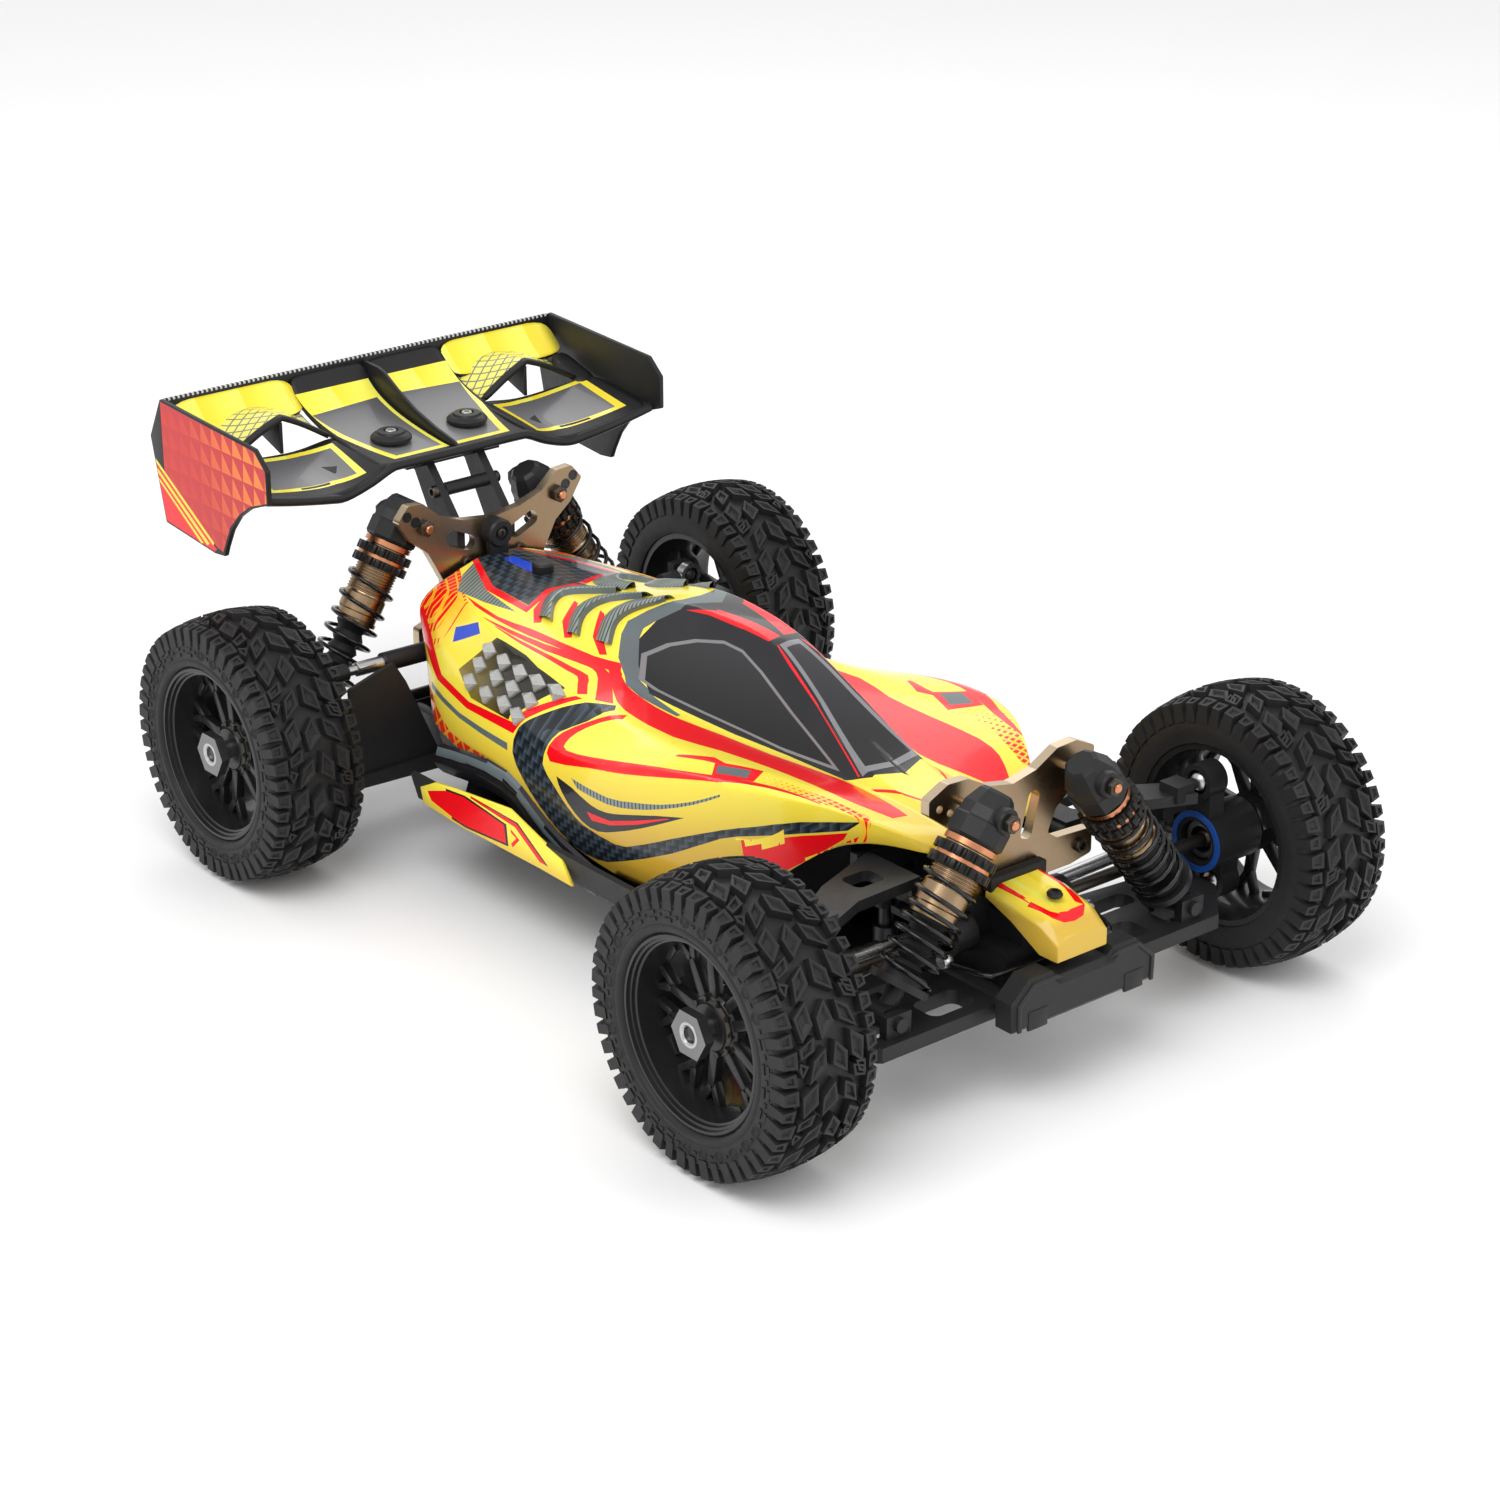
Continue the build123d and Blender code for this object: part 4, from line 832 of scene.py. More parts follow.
glow = (scale_red.x * -1000 - scale_red.z * 500).ramp(70.0, 140.0)
tip_colour = glow.blend((0.95, 0.22, 0.012), (0.62, 0.012, 0.006))
scale_red.set("Base Color", scale_tip.blend((0.55, 0.006, 0.006), tip_colour))
strip_dash = Finish("wing_strip", 0.4)
dash = ((strip_dash.y / 0.0024).fract() > 0.55) * ((strip_dash.z * 1000) > 180.6)
strip_dash.set("Base Color", dash.blend((0.014, 0.014, 0.015), (0.55, 0.55, 0.55)))


def link_out(obj, body, slot, *nodes):
    """Names what a piece rides on and the nodes it stands for; the finish slot argument is not used."""
    if body:
        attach(obj, body)
    if nodes:
        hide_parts(*nodes)


def mirrored_too(obj):
    """Adds the other half of a piece that crosses or stands beside the middle of the car."""
    change(obj, "MIRROR", use_axis=(False, True, False), use_clip=True, merge_threshold=0.00005)
    return obj


def lay_film(obj, *bands):
    """Cuts printed bands, each with a material, into an object's faces."""
    shape = bmesh.new()
    shape.from_mesh(obj.data)
    surface = BVHTree.FromBMesh(shape)
    for material, near, far in bands:
        if material.name not in obj.data.materials:
            obj.data.materials.append(material)
        cut_band(shape, surface, obj.data.materials.find(material.name), near, far)
    shape.to_mesh(obj.data)
    shape.free()
    return obj


stations = ((-163, 156.0), (-175, 156.5), (-190, 158.5), (-205, 161), (-219, 165), (-230, 171),
            (-237, 179.5))
deck = sheet("wing_deck", [[(x, y, z) for y in (0, 14, 28, 41)] for x, z in stations], {0: 0}, 2)
coat(deck, nylon)
lay_film(deck,
         (wing_yellow.material, [(-168, 2, 157), (-200, 2, 160), (-231, 2, 172)],
          [(-168, 31, 157), (-200, 39, 160), (-231, 41, 172)]),
         (wing_grey.material, [(-171, 4, 157), (-200, 4, 160), (-221, 4, 166)],
          [(-171, 28, 157), (-200, 36, 160), (-219, 40, 165)]))
outer_rows = []
for t, x_in, x_out in ((0, -162, -159), (0.25, -172, -170), (0.6, -186, -185), (1, -202, -201)):
    outer_rows.append([(x_in, 38, 157 + 3 * t), (x_in - 1, 46, 152 + 7 * t), (x_in - 1, 60, 147.5 + 9 * t),
                       (x_out - 2, 78, 150 + 8 * t), (x_out, 94, 153.5 + 6 * t), (x_out, 103, 156 + 5 * t)])
panel = sheet("wing_outer_panel", outer_rows, {}, 2)
coat(panel, nylon)
lay_film(panel,
         (wing_yellow.material, [(-168, 46, 153), (-171, 60, 149), (-167, 96, 155)],
          [(-198, 44, 160), (-201, 60, 157), (-201, 97, 160)]),
         (wing_grey.material, [(-171, 49, 153), (-174, 60, 150), (-170, 92, 155)],
          [(-195, 47, 160), (-198, 60, 157), (-198, 93, 160)]),
         (nylon, [(-172, 62, 149), (-170, 78, 151)], [(-173.5, 62, 150), (-171.5, 78, 151.5)]),
         (nylon, [(-182, 52, 154), (-178, 55, 152)], [(-186, 58, 154), (-178, 56, 152)]))
back = sheet("wing_back", [[(x, 40, z), (x, 60, z), (x, 80, z), (x, 103, z)] for x,
                           z in ((-222, 166.5), (-230, 171), (-237, 179.5))], {}, 2)
coat(back, wing_yellow.material)
side_strip = sheet("wing_side_strip", [[(x, 92, z - 1), (x, 98, z), (x, 103, z)] for x,
                                       z in ((-198, 160), (-208, 162), (-222, 167))], {}, 1)
coat(side_strip, nylon)
ridge = ((41, 160.5), (48, 165), (57, 170.5), (66, 174.5), (76, 171), (86, 165.5), (95, 160.5))
arch_rows = [[(x, y, low + (z - low) * share) for y, z in ridge]
             for x, share, low in ((-203, 1.0, 160.5), (-208, 1.0, 161.5), (-219, 0.9, 165.5),
                                   (-229, 0.42, 170.5))]
arch = sheet("wing_arch", arch_rows, {3: 0.7}, 2)
coat(arch, net_yellow.material)
arch_edge = sheet("wing_arch_edge", [[(x, y, z + lift) for y, z in ridge] for x,
                                     lift in ((-201.6, 0.2), (-204.4, 0.7))], {3: 0.7}, 2)
coat(arch_edge, nylon)
strip = plate("wing_strip", [(-238.6, 171), (-236.8, 171), (-236.8, 181.6), (-238.6, 181.6)], "y", 0, 104,
              0.3)
coat(strip, strip_dash.material)
for sheet_piece, wall in ((deck, 1.8), (panel, 1.8), (back, 1.8), (side_strip, 1.8), (arch, 1.4),
                          (arch_edge, 2.2)):
    pick(sheet_piece)
    bpy.ops.object.mode_set(mode="EDIT")
    bpy.ops.mesh.select_all(action="SELECT")
    bpy.ops.mesh.normals_make_consistent(inside=False)
    bpy.ops.object.mode_set(mode="OBJECT")
    if sum(face.normal.z for face in sheet_piece.data.polygons) < 0:
        sheet_piece.data.flip_normals()
    sheet_piece.data.materials.append(nylon)
    bpy.ops.object.shade_smooth()
    last = len(sheet_piece.data.materials)
    change(sheet_piece, "SOLIDIFY", thickness=wall * MM, offset=-1.0, material_offset=last,
           material_offset_rim=last)
strut = coat(plate("wing_strut", [(-203.5, 157), (-224, 164), (-220, 171), (-207, 172.5), (-203.5, 171)],
                   "y", 65.2, 67.0, 0.3), nylon)
end_outline = [(-237, 182.0), (-161, 178.2), (-152.2, 170.5), (-152.2, 155.5), (-158, 153.5), (-167, 150),
               (-176, 144),
               (-183, 136), (-188, 127), (-190, 122.4), (-197.9, 121.6), (-238, 125.2), (-246.8, 163.3)]
end_plate = plate("wing_end_plate", end_outline, "y", 104.0, 106.4, 0.5)
coat(end_plate, nylon)


def on_plate(*points):
    return [(x, 106.4, z) for x, z in points]


film_top = on_plate((-245.9, 163.6), (-241.4, 171.5), (-236.4, 181.1), (-205, 179.5), (-196, 179.0),
                    (-191, 178.8), (-184, 178.5), (-176, 178.1),
                    (-167, 177.6), (-161, 177.2), (-153.2, 170.2))
film_foot = on_plate((-245.3, 158.5), (-243.2, 153.4), (-236.4, 149.2), (-205, 130.6), (-196, 125.2),
                     (-191, 124.2), (-184, 137.2), (-176, 145.2),
                     (-167, 151.2), (-161, 153.4), (-153.2, 156.2))
lay_film(end_plate,
         (scale_red.material, film_top, film_foot),
         (red_paint.material, on_plate((-243.2, 151), (-205, 129.0), (-196, 124.0)),
          on_plate((-237.2, 126.2), (-205, 123.2), (-198, 122.6))),
         (wing_yellow.material, on_plate((-243.6, 153.6), (-198, 126.4)),
          on_plate((-243.0, 151.4), (-199, 125.0))),
         (wing_yellow.material, on_plate((-242.6, 149.4), (-202, 125)),
          on_plate((-242.1, 147.2), (-204, 123.8))),
         (wing_yellow.material, on_plate((-241.6, 145.0), (-207, 124)),
          on_plate((-241.2, 143.4), (-209, 123.3))))
badge = [(-234, 166), (-227, 169.5), (-220, 166), (-220, 157), (-223, 149.5), (-227, 145.5), (-231, 149.5),
         (-234, 157)]
badge_back = coat(plate("wing_badge", badge, "y", 106.0, 106.38, 0.1), ink_paint.material)
badge_ring = [(x + (-227 - x) * 0.16, z + (157.5 - z) * 0.14) for x, z in badge]
lay_film(badge_back, (wing_yellow.material, [(x, 106.4, z) for x, z in badge_ring[:5]],
                      [(x, 106.4, z) for x, z in badge_ring[:1] + badge_ring[:4:-1] + badge_ring[4:5]]))
lip_points = [(-162.2, 0, 155.4), (-162.2, 30, 155.4), (-162.5, 37, 154.6), (-163.4, 47, 150),
              (-163.6, 60, 146.4),
              (-162, 70, 147.8), (-159.6, 88, 151.6), (-158.6, 103, 155)]


def rod_along(name, points, radius, steps=4, sides=3):
    """A round bar that follows a smooth line."""
    line = bpy.data.curves.new(name, "CURVE")
    line.dimensions = "3D"
    line.bevel_depth = radius * MM
    line.bevel_resolution = sides
    line.use_fill_caps = True
    spline = line.splines.new("POLY")
    path = curve(points, steps)
    spline.points.add(len(path) - 1)
    for point, place in zip(spline.points, path):
        point.co = (*(place * MM), 1)
    obj = bpy.data.objects.new(name, line)
    bpy.context.scene.collection.objects.link(obj)
    pick(obj)
    bpy.ops.object.convert(target="MESH")
    bpy.ops.object.shade_smooth_by_angle(angle=math.radians(50))
    return active(name)


lip = coat(rod_along("wing_lip", lip_points, 2.1), nylon)
half_wing = joined("wing_side", [deck, panel, back, side_strip, arch, arch_edge, strip, strut, end_plate,
                                 badge_back, lip])
mirrored_too(half_wing)
fin = plate("wing_fin", [(-163.5, 156), (-166, 158.2), (-180, 161.2), (-196, 165.8), (-210, 172),
                         (-220, 177.6), (-224.6, 178.8),
                         (-237, 179.5), (-237, 174), (-220, 163), (-200, 158.5), (-175, 156)], "y", -0.9,
            0.9, 0.4)
coat(fin, nylon)
wing = joined("rear_wing_skin", [half_wing, fin])
link_out(wing, "root", "wing_plastic", "rear_wing")

steel = Finish("steel", 0.28, 1.0)
steel.set("Base Color", steel.noise(60).blend((0.42, 0.42, 0.43), (0.60, 0.60, 0.60)))
steel.set("Roughness", steel.noise(700) * 0.2 + 0.2)
dark_steel = Finish("dark_steel", 0.35, 0.9)
dark_steel.set("Base Color", dark_steel.noise(60).blend((0.05, 0.045, 0.04), (0.10, 0.085, 0.07)))
dark_steel.set("Roughness", dark_steel.noise(700) * 0.2 + 0.26)


def aimed(obj, place, direction):
    """Turns a piece made about the Y axis to a direction and moves it to a place in mm."""
    run = Vector(direction).normalized()
    side_way = Vector((1, 0, 0)) if abs(run.x) < 0.9 else Vector((0, 1, 0))
    third = side_way.cross(run).normalized()
    first = run.cross(third)
    matrix = Matrix.Translation(Vector(place) * MM) @ Matrix((first, run, third)).transposed().to_4x4()
    return move_mesh(obj, matrix)


def fitted(name, profile, steps, angle, place, direction, material):
    """A turned piece set at a place in mm along a direction, in its finish."""
    return coat(aimed(turned(name, profile, steps, angle), place, direction), material)


def cap_screw(name, radius, height, material):
    """A screw head with a hexagon socket, standing on the origin along Y."""
    head_piece = turned(name, [(0, 0), (radius, 0), (radius, height * 0.8), (radius * 0.86, height),
                               (radius * 0.55, height),
                               (radius * 0.5, height * 0.4), (0, height * 0.4)], 12, 40)
    return coat(head_piece, material)


def nut(name, radius, height, material):
    piece = plate(name, [(radius * math.sin(k * math.pi / 3),
                          radius * math.cos(k * math.pi / 3)) for k in range(6)],
                  "y", 0, height, radius * 0.12)
    return coat(piece, material)


fittings = []
for y in (-20.5, 20.5):
    washer = [(2.4, 0), (8.6, 0), (9.2, 0.8), (9.2, 2.0), (8.0, 3.2), (6.6, 3.6), (6.0, 4.6), (3.4, 4.8),
              (3.0, 3.6), (2.4, 3.6)]
    fittings.append(fitted("wing_washer", washer, 32, 30, (-186, y, 158.2), (0, 0, 1), nylon))
    fittings.append(aimed(cap_screw("wing_screw", 2.5, 1.8, steel.material), (-186, y, 161.4), (0, 0, 1)))
link_out(joined("wing_fittings", fittings), "root", "black_plastic")


# ---------------------------------------------------------------- shocks
# Bronze-anodised threaded bodies with faceted caps and notched collars, black coil springs, and
# a folded rubber boot over each shaft; a shouldered screw holds each end.
bronze = Finish("bronze_alloy", 0.3, 1.0)
face_way = bronze.place.node("TexCoord", out=1)
flat = face_way.node("SeparateXYZ", face_way)
flatness = flat.size().ramp(0.5, 0.9)
bronze.set("Base Color", flatness.blend((0.58, 0.46, 0.32), (0.33, 0.235, 0.145)))
bronze.set("Roughness", bronze.noise(900) * 0.18 + 0.22)
bronze.bump(bronze.noise(2400, 2), 0.05, 0.0001)
body_bronze = plain("shock_bronze", (0.34, 0.235, 0.14), 0.28, 1.0, grain=0.06, scale=2000)
copper = plain("copper_band", (0.62, 0.26, 0.13), 0.28, 1.0)
coil_black = plain("coil_black", (0.012, 0.012, 0.013), 0.25, 0.4, coat=0.4)
boot_rubber = plain("boot_rubber", (0.014, 0.014, 0.014), 0.55, grain=0.1)
collar_black = plain("collar_black", (0.02, 0.019, 0.018), 0.32, 0.6)


def toothed(radius, depth, teeth):
    outline = []
    for k in range(teeth):
        for share, r in ((0.0, radius - depth), (0.28, radius - depth), (0.4, radius), (0.88, radius)):
            turn = 2 * math.pi * (k + share) / teeth
            outline.append((r * math.sin(turn), r * math.cos(turn)))
    return outline


shock_lines = {"front": (206.0, (26.4, 113.9), (76.8, 47.2), 44.0),
               "rear": (-158.5, (35.8, 133.3), (90.0, 46.0), 50.0)}
for end, (shock_x, top, bottom, body_end) in shock_lines.items():
    for hand, side in (("left", 1), ("right", -1)):
        start = Vector((shock_x, top[0] * side, top[1]))
        stop = Vector((shock_x, bottom[0] * side, bottom[1]))
        run = (stop - start).normalized()
        length = (stop - start).length
        corner = f"{end}_{hand}"
        cap = coat(turned("cap", [(0, -8.9), (5.6, -8.9), (7.2, -7.6), (10.2, -1.5), (10.9, 3.0),
                                  (11.5, 3.8), (11.5, 10.6),
                                  (10.4, 12), (7.8, 12), (7.8, 0.5), (0, 0.5)], 9, 15), nylon)
        thread = []
        y = 12.0
        while y < body_end - 14:
            thread += [(9.45, y + 0.35), (9.45, y + 0.75), (8.9, y + 1.05), (8.9, y + 1.3)]
            y += 1.3
        barrel = coat(turned("barrel", [(7.9, 11.0), (9.0, 11.0)] + thread + [(9.1, y + 0.5),
                                                                              (9.5, y + 1.0),
                                                                              (9.5, body_end - 5),
                                                                              (8.8, body_end - 4.4),
                                        (8.8, body_end - 2), (9.5, body_end - 1.6), (9.3, body_end),
                                                                              (7.9, body_end)], 40, 28),
                      body_bronze)
        ring = coat(turned("ring", [(9.0, 12.2), (10.5, 12.2), (10.5, 14.4), (9.0, 14.4)], 32), copper)
        parts = [cap, barrel, ring]
        for low, high in ((15.6, 19.4), (20.8, 24.6)):
            collar = coat(plate("collar", toothed(12.4, 1.3, 18), "y", low, high, 0.25), collar_black)
            parts.append(collar)
        neck = coat(turned("neck", [(9.0, 19.2), (11.0, 19.2), (11.0, 21.0), (9.0, 21.0)], 32), copper)
        body = aimed(joined(f"{corner}_shock_skin", parts + [neck]), start, run)
        link_out(body, f"{corner}_shock", "shock_alloy", f"{corner}_shock_body")

        turns, coil_start, coil_end = 7, 25.6, length - 14.8 - 0.6
        helix = []
        for k in range(turns * 16 + 1):
            share = k / (turns * 16)
            eased = share + 0.03 * math.sin(2 * math.pi * share)
            angle = 2 * math.pi * turns * share * side
            helix.append((11.0 * math.sin(angle), coil_start + (coil_end - coil_start) * eased,
                          11.0 * math.cos(angle)))
        coil = coat(rod_along(f"{corner}_coil", helix, 0.95, 1, 2), coil_black)
        aimed(coil, start, run)
        link_out(coil, None, "spring_steel", f"{corner}_shock_spring")
        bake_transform(coil)

        folds = [(5.4, body_end - 1.0), (7.2, body_end - 0.6)]
        count = 6
        fold = (length - 17.5 - body_end) / count
        for k in range(count):
            folds += [(7.6 - 0.35 * k, body_end + fold * (k + 0.25)),
                      (5.6 - 0.3 * k, body_end + fold * (k + 0.75))]
        folds += [(3.6, length - 17.2), (2.4, length - 17.2)]
        boot = coat(turned(f"{corner}_boot", folds + [(2.4, body_end)], 28, 40), boot_rubber)
        aimed(boot, start, run)
        link_out(boot, None, "black_plastic")
        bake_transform(boot)


# ---------------------------------------------------------------- carried-over metal and nylon
# Finishes of the pieces whose machined or moulded shape comes straight from the model.
chassis_alloy = plain("chassis_alloy", (0.06, 0.06, 0.065), 0.35, 0.9, grain=0.08, scale=2200)
nut_steel = Finish("nut_steel", 0.34, 0.95)
nut_steel.set("Base Color", nut_steel.noise(60).blend((0.16, 0.16, 0.165), (0.27, 0.27, 0.275)))
nut_steel.set("Roughness", nut_steel.noise(700) * 0.2 + 0.26)
arm_nylon = plain("arm_nylon", (0.017, 0.017, 0.018), 0.46, grain=0.2, scale=1700)
motor_can = plain("motor_can", (0.03, 0.03, 0.033), 0.3, 0.7, coat=0.3)
pack_wrap = plain("battery_wrap", (0.02, 0.022, 0.03), 0.35, coat=0.3)
case_black = plain("electronics_case", (0.02, 0.02, 0.02), 0.4, grain=0.1)
finishes = {"chassis_plate": chassis_alloy, "side_guards": arm_nylon, "front_bumper": arm_nylon,
            "front_shock_tower": bronze.material,
            "rear_shock_tower": bronze.material, "gearboxes": nylon, "motor": motor_can,
            "battery_pack": pack_wrap,
            "electronics": case_black, "wing_mount": nylon, "steering_plate": arm_nylon,
            "left_bellcrank": nylon, "right_bellcrank": nylon}
for name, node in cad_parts.items():
    for ending, material in (("lower_arm", arm_nylon), ("upper_arm", arm_nylon),
                             ("steering_knuckle", nylon), ("hub_carrier", nylon),
                             ("pivot_balls", steel.material), ("axle", nut_steel.material),
                             ("shock_shaft", nylon),
                             ("drive_shaft", dark_steel.material), ("tie_rod", steel.material),
                             ("camber_link", steel.material)):
        if name.endswith(ending):
            finishes[name] = material
    if name in finishes:
        coat(node, finishes[name])


# ---------------------------------------------------------------- shell relief
# Raised forms of the moulded shell: rows of small pyramid scales on the rear flanks, and three
# curved louvres each side behind the cabin; then the black body posts that come up through it.
# The scales take two copies of one grey: a light grey on the upper facets and a near-black copy on the
# lower facets, as painted light and shade.
scale_paint = Finish("scale_grey", 0.3, 0.3, 0.6)
scale_paint.set("Base Color", scale_paint.noise(120).blend((0.34, 0.34, 0.33), (0.50, 0.50, 0.48)))
scale_paint.set("Roughness", scale_paint.noise(500) * 0.2 + 0.2)
scale_shade = Finish("scale_shade", 0.35, 0.2, 0.3)
scale_shade.set("Base Color", scale_shade.noise(120).blend((0.030, 0.030, 0.030), (0.075, 0.075, 0.072)))
scale_places = ((-71, 52, 101), (-73, 56, 95), (-57, 55, 101), (-74, 60, 88), (-57, 59, 95), (-43, 57, 101),
                (-59, 63, 88),
                (-43, 61, 95), (-30, 58, 101), (-44, 65, 89), (-29, 62, 94), (-18, 57, 100), (-32, 67, 88))
scale_shape = bmesh.new()
for place in scale_places:
    spot, normal, face, distance = skin.find_nearest(Vector(place) * MM)
    along = (Vector((1, 0, 0)) - normal * normal.x).normalized()
    up = normal.cross(along)
    if up.z < 0:
        up = -up
    base = [spot + (along * a + up * b) * MM for a,
            b in ((-5.8, 1.2), (-0.2, 3.6), (6.2, 0.4), (1.8, -4.2))]
    low = [scale_shape.verts.new(point - normal * 0.0006) for point in base]
    edge = [scale_shape.verts.new(point + normal * 0.0010) for point in base]
    ridge_back = scale_shape.verts.new(spot + (along * -1.2 + up * 0.2) * MM + normal * 0.0034)
    ridge_tip = scale_shape.verts.new(spot + (along * 2.6 + up * -1.6) * MM + normal * 0.0042)
    for k in range(4):
        scale_shape.faces.new((low[k], low[(k + 1) % 4], edge[(k + 1) % 4], edge[k]))
    # Upper facets take the lit grey, lower facets the painted-shade copy.
    for dark, corner_set in ((0, (edge[0], edge[1], ridge_back)),
                             (0, (edge[1], edge[2], ridge_tip, ridge_back)),
                             (1, (edge[2], edge[3], ridge_tip)),
                             (1, (edge[3], edge[0], ridge_back, ridge_tip))):
        scale_shape.faces.new(corner_set).material_index = dark
bmesh.ops.recalc_face_normals(scale_shape, faces=scale_shape.faces)
scale_mesh = bpy.data.meshes.new("shell_scales")
scale_shape.to_mesh(scale_mesh)
scale_shape.free()
scales = bpy.data.objects.new("shell_scales", scale_mesh)
bpy.context.scene.collection.objects.link(scales)
coat(scales, scale_paint.material, scale_shade.material)
change(scales, "BEVEL", width=0.22 * MM, segments=1, angle_limit=math.radians(20))
link_out(mirrored_too(scales), "root", "shell_paint")

louvre_lines = (
    (((-46, 1, 123), (-66, 2, 119), (-76, 8, 117), (-75, 19, 116), (-64, 31, 113)),
     ((-44, 5, 123), (-57, 8, 120), (-66, 13, 118), (-66, 21, 117), (-55, 31, 113))),
    (((-16, 8, 132), (-34, 8, 126), (-48, 13, 122), (-51, 22, 118), (-43, 32, 112)),
     ((-17, 12, 130), (-30, 14, 126), (-40, 18, 122), (-42, 24, 118), (-36, 31, 112))),
    (((0, 9, 135), (-11, 11, 131), (-24, 15, 127), (-31, 21, 121), (-27, 29, 113)),
     ((-1, 12, 133), (-9, 15, 130), (-18, 18, 125), (-22, 22, 120), (-19, 28, 113))))
louvres = []
for number, (outer, inner) in enumerate(louvre_lines):
    rows = []
    for near, far in zip(curve(outer, 3), curve(inner, 3)):
        row = []
        for share, lift in ((-0.12, -0.4), (0.0, 0.5), (0.45, 2.3), (0.85, 3.0), (1.0, 2.6), (1.08, -0.6)):
            spot, normal, face, distance = skin.find_nearest(near.lerp(far, share) * MM)
            row.append(tuple((spot + normal * lift * MM) / MM))
        rows.append(row)
    louvre = sheet("louvre", rows, {1: 0.6, 4: 0.9}, 1)
    coat(louvre, hatch_paint.material, slate_paint.material, red_paint.material)
    for face in louvre.data.polygons:
        spot, normal, index, distance = skin.find_nearest(face.center)
        if abs(face.normal.dot(normal)) < 0.55:
            face.material_index = 1
    pick(louvre)
    bpy.ops.object.shade_smooth_by_angle(angle=math.radians(40))
    louvres.append(louvre)
louvre_set = joined("shell_louvres", louvres)
link_out(mirrored_too(louvre_set), "root", "shell_paint")

posts = []
knob = [(0, 0), (3.2, 0), (3.4, 0.6), (4.6, 0.9), (4.8, 1.6), (4.8, 5.2), (4.2, 6.2), (0, 6.4)]
for x, z in ((-103, 113.2), (172, 92.5)):
    posts.append(fitted("post_knob", knob, 28, 30, (x, 0, z), (0, 0, 1), nylon))
tower_knob = [(0, -2), (6.2, -2), (6.4, -1), (6.4, 6), (5.6, 7.2), (3.4, 7.2), (3.0, 6.0), (0, 6.0)]
posts.append(fitted("tower_knob", tower_knob, 28, 30, (-139.8, 0, 124.3), (1, 0, 0), nylon))
posts.append(coat(plate("tower_leg", [(-4.6, 112), (4.6, 112), (5.4, 124), (-5.4, 124)], "x", -138.5,
                        -134.6, 0.6), nylon))
posts.append(aimed(cap_screw("knob_screw", 2.2, 1.2, dark_steel.material), (-133.9, 0, 124.3), (1, 0, 0)))
for y in (-14.4, 14.4):
    posts.append(aimed(cap_screw("tower_screw", 2.6, 1.8, dark_steel.material), (-140, y, 112.5),
                       (1, 0, 0)))
link_out(joined("body_posts", posts), "root", "black_plastic")


# ---------------------------------------------------------------- side guards
# Thin painted panels clipped along the outer edge of the nylon side guards, with the grey and
# black folded skirt of the shell above them.
guard_yellow = lacquer("guard_yellow")
# Towards the bottom of the panel the yellow darkens to a deeper orange: painted shade.
guard_shade = (guard_yellow.z * 1000).ramp(46.0, 36.0)
guard_yellow.set("Base Color", guard_shade.blend(yellow, (0.80, 0.55, 0.04)))
guard_yellow.set("Roughness", guard_yellow.noise(40) * 0.1 + 0.18)
guard = plate("guard_panel", [(-79, 45), (-77, 38), (-50, 36.6), (5, 37), (27, 36.6), (20, 46), (-15, 56.5),
                              (-52, 52.6), (-68, 50.6)],
              "y", 83.0, 84.6, 0.35)
coat(guard, guard_yellow.material)


def on_guard(*points):
    return [(x, 84.6, z) for x, z in points]


lay_film(guard,
         (ink_paint.material, on_guard((-75, 45.5), (-60, 50.6), (-46, 52.0), (-17, 49)),
          on_guard((-72, 40.6), (-56, 38.0), (-46, 37.4), (-16, 39.4))),
         (red_paint.material, on_guard((-73.6, 45), (-60, 49.6), (-47, 51.0), (-18.6, 48.2)),
          on_guard((-71, 41.4), (-55, 38.8), (-46, 38.2), (-17.6, 40.2))),
         (red_paint.material, on_guard((-42, 53), (-10, 51.8), (10, 40)),
          on_guard((-42, 52.2), (-11, 49.8), (5.6, 40))),
         (ink_paint.material, on_guard((-42, 53.3), (-9, 52.4), (11.4, 40)),
          on_guard((-42, 53), (-10, 51.8), (10, 40))),
         (red_paint.material, on_guard((-14, 48), (-8, 45), (-13, 40)),
          on_guard((-14, 46.4), (-10.4, 45), (-14, 41.4))))
upper_line = ((-84, 71, 58), (-62, 72, 62), (-30, 73.5, 65), (-13, 75, 56), (8, 76, 46.5), (33, 75, 41))
skirt_rows = [[(x, y - 1.5, z + 1), (x, y, z), (x - 0.5, y + 0.8, z - 3), (x - 0.5, y + 0.4, z - 3.8),
               (x - 1, y + 1.2, z - 7), (x - 1, y - 1, z - 12)]
              for x, y, z in upper_line]
skirt = sheet("shell_skirt", skirt_rows, {1: 0.8, 2: 0.8, 3: 0.8, 4: 0.8}, 1)
coat(skirt, slate_paint.material, ink_paint.material)
for face in skirt.data.polygons:
    x = face.center.x / MM
    for (x0, y0, z0), (x1, y1, z1) in zip(upper_line, upper_line[1:]):
        if x0 <= x <= x1 or (x < -84 and x0 == -84):
            top_z = z0 + (z1 - z0) * (x - x0) / (x1 - x0)
            break
    face.material_index = 0 if -0.4 > face.center.z / MM - top_z > -3.4 else 1
change(skirt, "SOLIDIFY", thickness=1.0 * MM, offset=0.0)
pick(skirt)
bpy.ops.object.shade_smooth_by_angle(angle=math.radians(35))
link_out(mirrored_too(joined("side_panels", [guard, skirt])), "root", "shell_paint")


